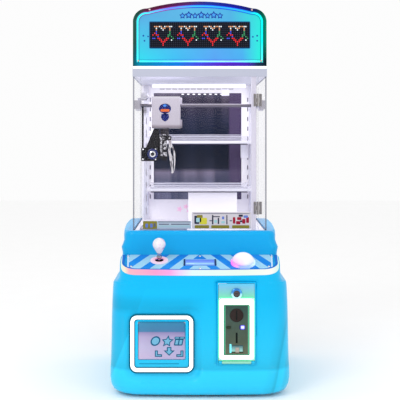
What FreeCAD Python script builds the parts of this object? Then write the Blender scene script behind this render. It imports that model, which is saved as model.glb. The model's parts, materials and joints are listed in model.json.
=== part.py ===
import FreeCAD, Part
import math
import os

os.makedirs("parts", exist_ok=True)
V = FreeCAD.Vector

# Driving dimensions, in millimetres. +Z up, -Y the front, origin at the bottom centre.
FIT = 0.05                  # radial running clearance of every pin and shaft
FAR = 300.0                 # beyond the machine on every side

SHELL_T = 4.0               # moulded base
FLANGE_TOP = 10.0
FLOOR_TOP = 12.0            # top of the chassis plate, where the inner boxes stand
LEDGE_Z = 366.0             # flat top of the base, which carries the collar
BASE_BACK, BASE_BACK_R, BASE_BOW = 272.0, 30.0, 4.0
PAD_Y = -256.0              # flat faces on the bowed front, for the two doors

COLLAR_T = 3.0
COLLAR_TOP = 436.0
COLLAR_BACK, COLLAR_R = 266.0, 25.0
COLLAR_GAP = 0.4

CAB_X = 186.0               # glazed cabinet, outer half-width
CAB_FRONT, CAB_BACK = -142.0, 258.0
CAB_BASE, CAB_TOP = 430.0, 863.0
GLASS_T = 4.0
DECK_TOP = 433.0
ROOF_TOP = 890.0

MARQUEE_X = 186.0
MARQUEE_BASE, MARQUEE_SIDE_TOP, MARQUEE_APEX = 892.5, 1013.0, 1072.0
MARQUEE_BACK = -42.0
MATRIX = (-139.0, 139.0, 943.0, 1015.0)

PANEL_BACK_Y, PANEL_BACK_Z = -172.0, 371.0
PANEL_FRONT_Y, PANEL_FRONT_Z = -267.0, 341.0
PANEL_SLOPE = (PANEL_BACK_Z - PANEL_FRONT_Z) / (PANEL_BACK_Y - PANEL_FRONT_Y)
PANEL_TILT = math.degrees(math.atan(PANEL_SLOPE))
PANEL_T = 3.0
STRIP_H = 13.5              # height of the light strip under the panel
CONSOLE_X, CONSOLE_FRONT, CONSOLE_R = 213.5, -268.0, 45.0
SIDE_SCREWS = ((-196.0, -184.0), (196.0, -184.0), (-184.0, -244.0), (184.0, -244.0), (0.0, -256.0))
BACK_SCREW = (0.0, -180.0)
SCREW_R = 2.0

STICK_X, STICK_Y = -110.0, -208.0
STICK_PIVOT = -18.0         # gimbal centre, below the panel's top along its normal
GIMBAL_PIN_R = 2.5
STICK_HOLE_R = 14.0
BUTTON_X, BUTTON_Y = 116.0, -225.0
BUTTON_SLEEVE_R = 20.0
BUTTON_STEM_R = 18.14
DISPLAY_Y = -220.5
DISPLAY_X, DISPLAY_D = 42.0, 17.0

PRIZE_FRAME = (-175.0, -28.0, 81.0, 211.0)
PRIZE_WINDOW = (-165.0, -38.5, 102.5, 204.5)
FLAP_PIN_Y, FLAP_PIN_Z, DOOR_PIN_R = -253.0, 200.0, 2.0
CHUTE_X0, CHUTE_X1 = -168.0, -35.5

COIN_X0, COIN_X1, COIN_Z0, COIN_Z1 = 49.0, 145.0, 96.0, 305.0
COIN_PIN_Y, COIN_PIN_Z = -261.0, 96.0
COIN_MOUTH = (80.0, 114.0, 122.0, 143.0)
COIN_CUP_X, COIN_CUP_Z, COIN_CUP_R = 97.0, 222.0, 18.0
RETURN_X, RETURN_Z = 76.0, 190.0
RETURN_AXLE_Y, RETURN_AXLE_Z, RETURN_AXLE_R = -262.6, 140.8, 1.6
LOCK_X, LOCK_Z = 97.0, 279.0
LOCK_R, LOCK_BEZEL_R = 8.0, 14.5

REAR_PIN_X, REAR_PIN_Y, REAR_PIN_R = -148.0, 269.5, 1.0
REAR_DOOR = (-150.0, 150.0, 59.0, 335.0)

DOOR_X0, DOOR_X1, DOOR_Z0, DOOR_Z1 = -164.5, 160.5, 438.5, 861.0
GLASS_PIN_X, GLASS_PIN_Y, GLASS_PIN_R = 161.5, -146.0, 1.5
DOOR_HINGES = (480.0, 780.0)
HINGE_H, KNUCKLE_R, LEAF_T = 35.0, 3.6, 2.0

RAIL_X, RAIL_Z, ROD_R = 174.5, 785.0, 4.0
ROD_YS = (-95.0, -55.0)
HEAD_X, HEAD_Y = -100.0, -75.0
COVER = (-135.0, -55.0, -115.0, -35.0)
COVER_Z0, COVER_Z1 = 720.0, 809.0
DRUM_Z = 748.0
FINGER_PIN_X, FINGER_PIN_Z, FINGER_PIN_R = -86.0, 692.0, 2.0
FINGER_Y0, FINGER_Y1 = -80.5, -69.5

POST_XS, POST_YS, POST_W, POST_T = (-183.0, 161.0), (-15.0, 228.0), 22.0, 2.0
FOOT_SPOTS = tuple((x, y) for x in (-172.0, 172.0) for y in (-190.0, 239.0))
FOOT_STEM_R = 5.0

# Base shell sections: height, half-width, front, front corner radius.
BASE_SECTIONS = (
    (8, 226, -254, 70), (16, 236, -264, 70), (30, 241, -270, 70), (45, 243, -272, 70),
    (60, 243, -271, 70), (78, 243, -266, 70), (95, 242.5, -261, 70), (120, 242, -259, 70),
    (200, 240.5, -258, 70), (250, 239, -259, 70), (285, 237, -261, 68), (296, 235, -262, 66),
    (303, 230, -263, 62), (306, 223, -264, 58), (320, 217, -266, 50), (340, 214, -268, 45),
    (366, 213.5, -268, 45),
)

# Collar sections: height, half-width, front.
COLLAR_SECTIONS = (
    (366, 213.5, -172), (378, 214.5, -172), (391, 217, -172), (400, 213, -172),
    (412, 209, -172), (426, 208, -171.8), (432, 206, -169.5), (436, 202, -165),
)


# Plain shapes

def box(x0, x1, y0, y1, z0, z1):
    return Part.makeBox(x1 - x0, y1 - y0, z1 - z0, V(x0, y0, z0))


def rod_x(x0, x1, y, z, r):
    return Part.makeCylinder(r, x1 - x0, V(x0, y, z), V(1, 0, 0))


def rod_y(y0, y1, x, z, r):
    return Part.makeCylinder(r, y1 - y0, V(x, y0, z), V(0, 1, 0))


def rod_z(z0, z1, x, y, r):
    return Part.makeCylinder(r, z1 - z0, V(x, y, z0), V(0, 0, 1))


def tube_z(z0, z1, x, y, outer_r, inner_r):
    return rod_z(z0, z1, x, y, outer_r).cut(rod_z(z0, z1, x, y, inner_r))


def fuse(shapes):
    return shapes[0].multiFuse(shapes[1:])


def cut(shape, tools):
    return shape.cut(list(tools))


def prism(points, direction):
    wire = Part.makePolygon(points + [points[0]])
    return Part.Face(wire).extrude(direction)


def prism_yz(points, x0, x1):
    return prism([V(x0, y, z) for y, z in points], V(x1 - x0, 0, 0))


def prism_xz(points, y0, y1):
    return prism([V(x, y0, z) for x, z in points], V(0, y1 - y0, 0))


def rounded(block, axis, r):
    """Round the four edges of a box that run along one axis (0 = X, 1 = Y, 2 = Z)."""
    edges = [e for e in block.Edges if abs(e.tangentAt(e.FirstParameter)[axis]) > 0.99]
    return block.makeFillet(r, edges)


def rounded_xz(x0, x1, z0, z1, r, y0, y1):
    """A rounded rectangular plate whose faces point along Y."""
    return rounded(box(x0, x1, y0, y1, z0, z1), 1, r)


def rounded_xy(x0, x1, y0, y1, r, z0, z1):
    """A rounded rectangular block whose faces point along Z."""
    return rounded(box(x0, x1, y0, y1, z0, z1), 2, r)


def plan_wire(z, half_x, front, bow, front_r, back, back_r):
    """A closed plan outline: bowed front, large front corners, straight sides and back."""
    corner_x = half_x - front_r
    corner_y = front + bow + front_r
    back_x = half_x - back_r
    back_y = back - back_r
    d = math.sqrt(0.5)

    def arc(a, b, c):
        return Part.Arc(V(a[0], a[1], z), V(b[0], b[1], z), V(c[0], c[1], z)).toShape()

    def line(a, b):
        return Part.LineSegment(V(a[0], a[1], z), V(b[0], b[1], z)).toShape()

    left, right = (-corner_x, front + bow), (corner_x, front + bow)
    return Part.Wire([
        arc(left, (0, front), right),
        arc(right, (corner_x + front_r * d, corner_y - front_r * d), (half_x, corner_y)),
        line((half_x, corner_y), (half_x, back_y)),
        arc((half_x, back_y), (back_x + back_r * d, back_y + back_r * d), (back_x, back)),
        line((back_x, back), (-back_x, back)),
        arc((-back_x, back), (-back_x - back_r * d, back_y + back_r * d), (-half_x, back_y)),
        line((-half_x, back_y), (-half_x, corner_y)),
        arc((-half_x, corner_y), (-corner_x - front_r * d, corner_y - front_r * d), left),
    ])


# The sloped control panel

def panel_z(y):
    return PANEL_BACK_Z + (y - PANEL_BACK_Y) * PANEL_SLOPE


def on_panel(shape, x, y):
    """Tilt a shape drawn about the origin and set it on the sloped panel's top face."""
    placed = shape.copy()
    placed.rotate(V(0, 0, 0), V(1, 0, 0), PANEL_TILT)
    placed.translate(V(x, y, panel_z(y)))
    return placed


def sloped_prism(y1, low, high):
    """A slab parallel to the panel, from the front to y1, between two heights over its top."""
    points = [(-FAR, panel_z(-FAR) + low), (y1, panel_z(y1) + low), (y1, high(y1)), (-FAR, high(-FAR))]
    return prism_yz(points, -FAR, FAR)


def sloped_slab(low, high):
    return sloped_prism(PANEL_BACK_Y - 0.3, low, lambda y: panel_z(y) + high)


def above_slope(depth):
    """Everything in front of the collar that is higher than a given depth below the panel's top."""
    return sloped_prism(PANEL_BACK_Y, -depth, lambda y: COLLAR_TOP)


def console_prism(inset):
    wire = plan_wire(290, CONSOLE_X - inset, CONSOLE_FRONT + inset, BASE_BOW, CONSOLE_R - inset, 0, 10)
    return Part.Face(wire).extrude(V(0, 0, 120))


# Moulded body

def base_loft(inset):
    wires = []
    for z, half_x, front, front_r in BASE_SECTIONS:
        wires.append(plan_wire(z, half_x - inset, front + inset, BASE_BOW, front_r - inset,
                               BASE_BACK - inset, BASE_BACK_R - inset))
    return Part.makeLoft(wires, True, True)


def base_shell():
    body = base_loft(0).cut(above_slope(STRIP_H))
    hollow = base_loft(SHELL_T).cut(above_slope(STRIP_H + SHELL_T))
    hollow = cut(hollow, [box(-FAR, FAR, -FAR, FAR, LEDGE_Z - SHELL_T, COLLAR_TOP),
                          box(-FAR, FAR, -FAR, FAR, 0, FLANGE_TOP)])
    floor_mouth = rounded_xy(-200, 200, -225, 250, 20, 0, FLANGE_TOP)
    prize_flat = (-197, -6, 59, 233, 28)
    coin_flat = (36, 158, 84, 317, 14)
    shell = cut(body, [hollow, floor_mouth])
    shell = cut(shell, [rounded_xz(*flat, -FAR, PAD_Y) for flat in (prize_flat, coin_flat)])
    hinge_bosses = [box(-156, -140, 262, BASE_BACK, z, z + 18) for z in (40, 336)]
    flats = [rounded_xz(*prize_flat, PAD_Y, -247), rounded_xz(*coin_flat, PAD_Y, -251)]
    shell = fuse([shell] + flats + hinge_bosses)
    prize_hole = rounded_xz(-170, -33.5, 90, 212, 4, -FAR, -240)
    coin_hole = box(46, 148, -FAR, -240, 93, 308)
    ledge_hole = box(-185, 185, -137, 252, 340, COLLAR_TOP)
    console_hole = box(-186, 186, -249, -165, 300, LEDGE_Z - SHELL_T - 1)
    rear_hole = box(-151, 151, 258, FAR, 58, 336)
    inlet_hole = box(166, 204, 258, FAR, 28, 58)
    pin_holes = [rod_z(z, z + 13, REAR_PIN_X, REAR_PIN_Y, REAR_PIN_R) for z in (46, 335)]
    return cut(shell, [prize_hole, coin_hole, ledge_hole, console_hole, rear_hole, inlet_hole] + pin_holes)


def collar_loft(inset, sections):
    corner_r = COLLAR_R - inset / 2
    back = COLLAR_BACK - inset
    wires = []
    for z, half_x, front in sections:
        wires.append(plan_wire(z, half_x - inset, front + inset, 0.5, corner_r, back, corner_r))
    return Part.makeLoft(wires, True, True)


def around_cabinet(margin, z0, z1):
    return box(-CAB_X - margin, CAB_X + margin, CAB_FRONT - margin, CAB_BACK + margin, z0, z1)


def collar_shell():
    """A hollow ring between the base and the glazing, with an inner wall close to the glass."""
    hollow = collar_loft(COLLAR_T, COLLAR_SECTIONS[:-1])
    inner_wall = around_cabinet(COLLAR_GAP + COLLAR_T, LEDGE_Z, COLLAR_TOP)
    opening = around_cabinet(COLLAR_GAP, 0, FAR * 2)
    return cut(collar_loft(0, COLLAR_SECTIONS), [hollow.cut(inner_wall), opening])


def chassis_frame():
    """Floor plate, four square posts and the ring that carries the deck and the glazing."""
    plate = rounded_xy(-206, 206, -231, 256, 20, FLANGE_TOP, FLOOR_TOP)
    plate = cut(plate, [rod_z(0, FLOOR_TOP, x, y, FOOT_STEM_R) for x, y in FOOT_SPOTS])
    ring_base = CAB_BASE - 20
    ring = around_cabinet(0, ring_base, CAB_BASE)
    ring = ring.cut(box(-CAB_X + 16, CAB_X - 16, CAB_FRONT + 4, CAB_BACK - 16, ring_base, CAB_BASE))
    posts = []
    for x in POST_XS:
        for y in POST_YS:
            x1, y1 = x + POST_W, y + POST_W
            inside = box(x + POST_T, x1 - POST_T, y + POST_T, y1 - POST_T, FLOOR_TOP, ring_base)
            posts.append(box(x, x1, y, y1, FLOOR_TOP, ring_base).cut(inside))
    return fuse([plate, ring] + posts)


def levelling_feet():
    feet = []
    for x, y in FOOT_SPOTS:
        pad = Part.makeCone(20, 16, 6, V(x, y, 0))
        feet.append(fuse([pad, rod_z(6, 26, x, y, FOOT_STEM_R)]))
    return feet


# Prize door

def prize_frame():
    x0, x1, z0, z1 = PRIZE_FRAME
    frame = rounded_xz(x0, x1, z0, z1, 8, PAD_Y - 4, PAD_Y)
    return frame.cut(rounded_xz(*PRIZE_WINDOW, 3, -FAR, 0))


def prize_light_ring():
    x0, x1, z0, z1 = PRIZE_FRAME
    ring = rounded_xz(x0 - 13, x1 + 13, z0 - 13, z1 + 13, 21, PAD_Y - 7, PAD_Y)
    return ring.cut(rounded_xz(x0, x1, z0, z1, 8, -FAR, 0))


def prize_flap():
    """Top-hung flap behind the window, with its knuckle round a fixed pin."""
    x0, x1, z0 = PRIZE_WINDOW[0], PRIZE_WINDOW[1], PRIZE_WINDOW[2]
    sheet = rounded_xz(x0 + 1, x1 - 1, z0 + 1, FLAP_PIN_Z - 1, 2, -257, -254)
    knuckle = rod_x(x0 + 5, x1 - 5, FLAP_PIN_Y, FLAP_PIN_Z, 4)
    return fuse([sheet, knuckle]).cut(rod_x(x0, x1, FLAP_PIN_Y, FLAP_PIN_Z, DOOR_PIN_R + FIT))


def prize_chute():
    """Sheet duct: a shaft under the deck's hole, a sloping floor and ears for the flap's pin."""
    outer = [(-250, 92.3), (-18, 124.3), (-18, CAB_BASE), (-136, CAB_BASE),
             (-136, 263.2), (-225.5, 214), (-246, 214), (-246, 209), (-250, 209)]
    inner = [(-252, 94), (-20, 126), (-20, CAB_BASE), (-134, CAB_BASE),
             (-134, 262), (-225, 212), (-252, 212)]
    wall = 2.0
    duct = prism_yz(outer, CHUTE_X0, CHUTE_X1).cut(prism_yz(inner, CHUTE_X0 + wall, CHUTE_X1 - wall))
    ears = []
    for x in (CHUTE_X0 + wall, CHUTE_X1 - wall - 1.4):
        ears.append(box(x, x + 1.4, FLAP_PIN_Y - 3, -246, FLAP_PIN_Z - 4, FLAP_PIN_Z + 4))
    return fuse([duct] + ears).cut(rod_x(CHUTE_X0, CHUTE_X1, FLAP_PIN_Y, FLAP_PIN_Z, DOOR_PIN_R))


def hinge_pins():
    pins = [
        rod_x(CHUTE_X0 + 2, CHUTE_X1 - 2, FLAP_PIN_Y, FLAP_PIN_Z, DOOR_PIN_R),
        rod_x(COIN_X0 + 1, COIN_X1 - 1, COIN_PIN_Y, COIN_PIN_Z, DOOR_PIN_R),
    ]
    for z in DOOR_HINGES:
        pins.append(rod_z(z - 1, z + HINGE_H + 1, GLASS_PIN_X, GLASS_PIN_Y, GLASS_PIN_R))
    for z in (46, 324):
        pins.append(rod_z(z, z + 24, REAR_PIN_X, REAR_PIN_Y, REAR_PIN_R))
    return pins


# Coin door

def coin_door_frame():
    """Fixed surround, with a rounded ear at each end of the bottom hinge pin."""
    frame = rounded_xz(COIN_X0 - 4, COIN_X1 + 4, COIN_Z0 - 8, COIN_Z1 + 4, 4, PAD_Y - 3, PAD_Y)
    frame = frame.cut(box(COIN_X0 - 0.6, COIN_X1 + 0.6, -FAR, 0, COIN_Z0 - 5, COIN_Z1 + 0.6))
    ears = []
    for x in (COIN_X0, COIN_X1 - 9):
        ears.append(rod_x(x, x + 9, COIN_PIN_Y, COIN_PIN_Z, 4))
        ears.append(box(x, x + 9, COIN_PIN_Y, PAD_Y, COIN_PIN_Z - 8, COIN_PIN_Z + 4))
    return fuse([frame] + ears).cut(rod_x(COIN_X0, COIN_X1, COIN_PIN_Y, COIN_PIN_Z, DOOR_PIN_R))


def coin_door_plate():
    """Steel door leaf, and the fixed bezel and sleeve of its lock."""
    back_y, front_y = -258.5, -261.5
    leaf = box(COIN_X0, COIN_X1, front_y, back_y, COIN_Z0 + 5, COIN_Z1)
    knuckle = rod_x(COIN_X0 + 10, COIN_X1 - 10, COIN_PIN_Y, COIN_PIN_Z, 4)
    web = box(COIN_X0 + 10, COIN_X1 - 10, front_y, back_y, COIN_PIN_Z, COIN_Z0 + 6)
    leaf = cut(fuse([leaf, knuckle, web]), [
        rod_x(COIN_X0, COIN_X1, COIN_PIN_Y, COIN_PIN_Z, DOOR_PIN_R + FIT),
        box(67, 127, -FAR, 0, 122, 244),
        rod_y(-FAR, 0, LOCK_X, LOCK_Z, LOCK_R + 1),
    ])
    bezel = rod_y(-266, front_y, LOCK_X, LOCK_Z, LOCK_BEZEL_R)
    sleeve = rod_y(front_y, -248, LOCK_X, LOCK_Z, LOCK_R + 1)
    return [leaf, fuse([bezel, sleeve]).cut(rod_y(-FAR, 0, LOCK_X, LOCK_Z, LOCK_R + FIT))]


def coin_light_frame():
    frame = rounded_xz(COIN_X0 + 1, COIN_X1 - 1, 104, 267, 3, -265, -261.5)
    face_hole = box(64.4, 129.6, -FAR, 0, 118.4, 247.6)
    lock_notch = rod_y(-FAR, 0, LOCK_X, LOCK_Z, LOCK_BEZEL_R)
    return cut(frame, [face_hole, lock_notch])


def acceptor_face():
    mouth_x0, mouth_x1, mouth_z0, mouth_z1 = COIN_MOUTH
    face = rounded_xz(64.6, 129.4, 118.6, 247.4, 2, -266, -261.5)
    coin_slot = box(COIN_CUP_X - 1.4, COIN_CUP_X + 1.4, -FAR, 0, 208, 240)
    reject_slot = box(94.5, 99.5, -FAR, 0, 148, 176)
    lamp_recess = rounded_xz(104, 120, 184, 196, 3, -FAR, -264)
    x, z = RETURN_X, RETURN_Z
    cap_recess = rounded_xz(x - 6.6, x + 6.6, z - 3.6, z + 3.6, 3.5, -FAR, -263.4)
    return cut(face, [
        rod_y(-FAR, -262.5, COIN_CUP_X, COIN_CUP_Z, COIN_CUP_R),
        coin_slot,
        reject_slot,
        box(mouth_x0, mouth_x1, -FAR, 0, mouth_z0, mouth_z1),
        rod_y(-FAR, 0, x, z, 4),
        lamp_recess,
        cap_recess,
        rod_x(78, 116, RETURN_AXLE_Y, RETURN_AXLE_Z, RETURN_AXLE_R + FIT),
    ])


def coin_acceptor():
    """Face plate, round coin cup, the mechanism's case and the open tray behind the return mouth."""
    cup = rod_y(-264.5, -262.5, COIN_CUP_X, COIN_CUP_Z, COIN_CUP_R - 0.5)
    cup = cup.cut(box(COIN_CUP_X - 1.4, COIN_CUP_X + 1.4, -FAR, 0, 208, 236))
    case = cut(box(67.3, 126.7, -261.5, -203, 145, 243.7), [
        box(95.3, 98.7, -270, -230, 200, 238),
        box(94.5, 99.5, -270, -240, 148.5, 176),
        rod_y(-270, -248, RETURN_X, RETURN_Z, 4.2),
    ])
    tray = box(67.3, 126.7, -261.5, -215, 122.3, 145)
    tray = tray.cut(box(69.3, 124.7, -270, -217, 124.3, 145))
    return [acceptor_face(), cup, case, tray]


def coin_return_button():
    cap = rounded_xz(RETURN_X - 6, RETURN_X + 6, RETURN_Z - 3, RETURN_Z + 3, 2.9, -269, -266.3)
    return fuse([cap, rod_y(-267, -252, RETURN_X, RETURN_Z, 3.6)])


def coin_return_flap():
    flap = box(80.5, 113.5, -263.5, -262.2, 125.5, 139.5)
    neck = box(82, 112, -263.2, -262.2, 138, 141)
    return fuse([flap, neck, rod_x(78.2, 115.8, RETURN_AXLE_Y, RETURN_AXLE_Z, RETURN_AXLE_R)])


def lock_cylinder():
    barrel = rod_y(-265, -244, LOCK_X, LOCK_Z, LOCK_R)
    keyway = box(LOCK_X - 4, LOCK_X + 4, -270, -261, LOCK_Z - 0.8, LOCK_Z + 0.8)
    cam = box(LOCK_X - 32, LOCK_X + 6, -247, -244.5, LOCK_Z - 6, LOCK_Z + 6)
    return fuse([barrel.cut(keyway), cam])


# Inside the base, and its back

def cash_box():
    tray = rounded_xy(45, 150, -190, -90, 4, FLOOR_TOP, 88)
    return tray.cut(rounded_xy(46.5, 148.5, -188.5, -91.5, 3, FLOOR_TOP + 1.5, 100))


def power_supply():
    case = rounded_xy(20, 130, 100, 200, 2, FLOOR_TOP, 62)
    return cut(case, [box(30 + 12 * i, 36 + 12 * i, 95, 101.5, 22, 52) for i in range(8)])


def control_board():
    board_z, board_top = 22.0, 23.6
    board = box(-140, -20, 120, 215, board_z, board_top)
    standoffs = [rod_z(FLOOR_TOP, board_z, x, y, 3) for x in (-134, -26) for y in (126, 209)]
    chips = [box(-120, -90, 140, 170, board_top, 28), box(-75, -45, 180, 205, board_top, 34)]
    plugs = [box(-130 + 26 * i, -112 + 26 * i, 122, 130, board_top, 34) for i in range(4)]
    return fuse([board] + standoffs + chips + plugs)


def power_inlet():
    body = box(166, 204, 252, BASE_BACK, 28, 58)
    return body.cut(rounded_xz(173, 197, 35, 51, 3, 257, FAR))


def rear_door():
    x0, x1, z0, z1 = REAR_DOOR
    panel = box(x0, x1, 268, 271, z0, z1)
    barrel = rod_z(z0, z1, REAR_PIN_X, REAR_PIN_Y, 2.5)
    vents = [box(-90, 90, 260, 280, 220 + 14 * i, 226 + 14 * i) for i in range(6)]
    bores = [rod_z(z, z + 21, REAR_PIN_X, REAR_PIN_Y, REAR_PIN_R + FIT) for z in (50, 323.5)]
    return cut(fuse([panel, barrel]), vents + bores)


# Control panel

def panel_plate():
    plate = console_prism(10).common(sloped_slab(-PANEL_T, 0))
    holes = [
        on_panel(rod_z(-20, 20, 0, 0, STICK_HOLE_R), STICK_X, STICK_Y),
        on_panel(rod_z(-20, 20, 0, 0, BUTTON_SLEEVE_R), BUTTON_X, BUTTON_Y),
        on_panel(box(-DISPLAY_X, DISPLAY_X, -DISPLAY_D, DISPLAY_D, -20, 20), 0, DISPLAY_Y),
    ]
    for x, y in SIDE_SCREWS + (BACK_SCREW,):
        holes.append(on_panel(rod_z(-20, 20, 0, 0, SCREW_R), x, y))
    return cut(plate, holes)


def panel_screws():
    head = Part.makeCone(3.6, 2.6, 2.2)
    screw = fuse([head, rod_z(-8, 0, 0, 0, SCREW_R)]).cut(rod_z(1, 3, 0, 0, 1.3))
    return [on_panel(screw, x, y) for x, y in SIDE_SCREWS + (BACK_SCREW,)]


def panel_light_strip():
    """Translucent edge round the panel, with the bed that the panel is screwed down on."""
    rim = console_prism(0).cut(console_prism(9.6)).common(sloped_slab(-PANEL_T, -0.5))
    bed = console_prism(0).cut(console_prism(20)).common(sloped_slab(-STRIP_H, -PANEL_T))
    return cut(fuse([rim, bed]), [on_panel(rod_z(-9, 0, 0, 0, SCREW_R), x, y) for x, y in SIDE_SCREWS])


def display_module():
    case = box(-DISPLAY_X, DISPLAY_X, -DISPLAY_D, DISPLAY_D, -14, 0)
    lip = box(-DISPLAY_X - 2, DISPLAY_X + 2, -DISPLAY_D - 2, DISPLAY_D + 2, 0, 1.6)
    return on_panel(fuse([case, lip]).cut(box(-38, 38, -13, 13, 0.6, 3)), 0, DISPLAY_Y)


# Joystick: housing, gimbal ring and stick

def joystick_housing():
    case = cut(box(-28, 28, -28, 28, -36, -PANEL_T), [
        box(-26, 26, -26, 26, -40, -PANEL_T - 2),
        rod_z(-20, 5, 0, 0, STICK_HOLE_R),
        rod_x(-30, 30, 0, STICK_PIVOT, GIMBAL_PIN_R + FIT),
    ])
    return on_panel(case, STICK_X, STICK_Y)


def joystick_gimbal():
    ring = box(-18, 18, -18, 18, STICK_PIVOT - 4, STICK_PIVOT + 4)
    ring = ring.cut(box(-14, 14, -14, 14, STICK_PIVOT - 5, STICK_PIVOT + 5))
    trunnions = [rod_x(x, x + 10.8, 0, STICK_PIVOT, GIMBAL_PIN_R) for x in (-27.8, 17)]
    gimbal = fuse([ring] + trunnions).cut(rod_y(-20, 20, 0, STICK_PIVOT, GIMBAL_PIN_R + FIT))
    return on_panel(gimbal, STICK_X, STICK_Y)


def joystick_shaft():
    block = box(-7, 7, -8, 8, STICK_PIVOT - 6, STICK_PIVOT + 6)
    cross_pin = rod_y(-17.8, 17.8, 0, STICK_PIVOT, GIMBAL_PIN_R)
    stem = rod_z(STICK_PIVOT - 14, 44, 0, 0, 4)
    collar = rod_z(17, 24, 0, 0, 6)
    return on_panel(fuse([block, cross_pin, stem, collar]), STICK_X, STICK_Y)


def joystick_knob():
    """Ball on a cone-shaped neck, with a blind hole for the stem."""
    ball_r, ball_z, neck_r, neck_z, join_z = 17.3, 48.0, 7.0, 24.0, 40.0
    join_r = math.sqrt(ball_r ** 2 - (ball_z - join_z) ** 2)
    neck = Part.makeCone(neck_r, join_r, join_z - neck_z, V(0, 0, neck_z))
    knob = fuse([Part.makeSphere(ball_r, V(0, 0, ball_z)), neck])
    return on_panel(knob.cut(rod_z(20, 44, 0, 0, 4)), STICK_X, STICK_Y)


# Push button

def button_rim():
    rim = fuse([rod_z(-40, 2, 0, 0, BUTTON_SLEEVE_R), rod_z(0, 6, 0, 0, 33)])
    stem_bore = rod_z(-38, 10, 0, 0, BUTTON_STEM_R + FIT)
    dome_well = rod_z(2, 10, 0, 0, 30.5)
    pin_hole = rod_z(-45, -30, 0, 0, 4)
    rim = cut(rim, [stem_bore, dome_well, pin_hole])
    return on_panel(rim, BUTTON_X, BUTTON_Y)


def button_dome():
    """Hollow dome and stem in one, with a pin that reaches down to the switch."""
    dome_r, skirt_z, top_z = 30.0, 12.0, 30.0
    rise = top_z - skirt_z
    ball_r = (dome_r ** 2 + rise ** 2) / (2 * rise)
    cap = Part.makeSphere(ball_r, V(0, 0, top_z - ball_r)).common(rod_z(skirt_z, top_z + 1, 0, 0, dome_r))
    skirt = rod_z(7, skirt_z, 0, 0, dome_r)
    stem = rod_z(-20, 8, 0, 0, BUTTON_STEM_R)
    shell = fuse([cap, skirt, stem]).cut(rod_z(-22, 18, 0, 0, 14))
    floor = rod_z(-20, -18, 0, 0, 14.5)
    pin = rod_z(-32, -20, 0, 0, 3)
    return on_panel(fuse([shell, floor, pin]), BUTTON_X, BUTTON_Y)


def button_spring():
    return on_panel(tube_z(-38, -20, 0, 0, 12, 8), BUTTON_X, BUTTON_Y)


def button_microswitch():
    case = box(-14, 14, -5, 5, -56, -40)
    tabs = [box(x, x + 4, -3, 3, -62, -56) for x in (-9, 5)]
    return on_panel(fuse([case] + tabs), BUTTON_X, BUTTON_Y)


# Glazed cabinet

def deck():
    plate = box(-182, 182, -138, 246, CAB_BASE, DECK_TOP)
    lip = rounded_xy(CHUTE_X0, CHUTE_X1, -136, -18, 4, CAB_BASE, DECK_TOP + 6)
    return fuse([plate, lip]).cut(rounded_xy(CHUTE_X0 + 2, CHUTE_X1 - 2, -134, -20, 3, 400, 460))


def fixed_glazing():
    """Two side panes and the two front strips beside the door."""
    inner_x = CAB_X - GLASS_T
    front = CAB_FRONT + GLASS_T
    return [
        box(-CAB_X, -inner_x, CAB_FRONT, CAB_BACK, CAB_BASE, CAB_TOP),
        box(inner_x, CAB_X, CAB_FRONT, CAB_BACK, CAB_BASE, CAB_TOP),
        box(-inner_x, DOOR_X0 - 1, CAB_FRONT, front, CAB_BASE, CAB_TOP),
        box(DOOR_X1 + 2, inner_x, CAB_FRONT, front, CAB_BASE, CAB_TOP),
    ]


def front_door():
    return box(DOOR_X0, DOOR_X1, CAB_FRONT, CAB_FRONT + GLASS_T, DOOR_Z0, DOOR_Z1)


def hinge_leaf(z, leaf_x, knuckle_x, knuckles, bore_r):
    """A flat leaf on the glass, with one or two knuckles round the hinge pin."""
    y0 = CAB_FRONT - LEAF_T
    parts = [box(leaf_x, leaf_x + 7.2, y0, CAB_FRONT, z, z + HINGE_H)]
    for low, high in knuckles:
        parts.append(box(knuckle_x, knuckle_x + 3.4, y0, CAB_FRONT, low, high))
        parts.append(rod_z(low, high, GLASS_PIN_X, GLASS_PIN_Y, KNUCKLE_R))
    return fuse(parts).cut(rod_z(z, z + HINGE_H, GLASS_PIN_X, GLASS_PIN_Y, bore_r))


def frame_hinge_leaves():
    third, gap = HINGE_H / 3, 0.2
    leaves = []
    for z in DOOR_HINGES:
        knuckles = ((z, z + third - gap), (z + 2 * third + gap, z + HINGE_H))
        leaves.append(hinge_leaf(z, 165.8, 162.6, knuckles, GLASS_PIN_R))
    return leaves


def door_hinge_leaves():
    third, gap = HINGE_H / 3, 0.2
    leaves = []
    for z in DOOR_HINGES:
        knuckles = ((z + third + gap, z + 2 * third - gap),)
        leaves.append(hinge_leaf(z, 150, 157, knuckles, GLASS_PIN_R + FIT))
    return leaves


def rear_frame():
    """White panel with two windows, and the hollow plinth in front of it."""
    windows = [box(-145, 136, 240, 260, z0, z1) for z0, z1 in ((541, 838), (497, 523))]
    panel = cut(box(-182, 182, 246, 254, CAB_BASE, CAB_TOP), windows)
    plinth = box(-34, 118, 168, 224, DECK_TOP, 528.5)
    return [panel, plinth.cut(box(-31, 115, 171, 221, CAB_BASE, 525))]


def rear_glass():
    return [box(-155, 146, 254, CAB_BACK, z0, z1) for z0, z1 in ((533, 848), (488, 531))]


def shelf_supports():
    """Two slotted uprights, and the four brackets that hang from them."""
    supports = []
    for x in (-168.0, 168.0):
        rail = box(x - 8, x + 8, 234, 246, DECK_TOP, 860)
        slots = [box(x - 1.5, x + 1.5, 230, 240, 450 + 41 * i, 472 + 41 * i) for i in range(10)]
        supports.append(cut(rail, slots + [box(x - 6, x + 6, 236, 246, CAB_BASE, 860)]))
    for z in (677.0, 529.0):
        for x in (-162.0, 160.0):
            supports.append(prism_yz([(234, z - 50), (234, z), (160, z), (160, z - 8)], x, x + 2))
    return supports


def shelves():
    return [box(-163, 163, 150, 233.5, z0, z1) for z0, z1 in ((677, 685), (529, 541))]


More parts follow.
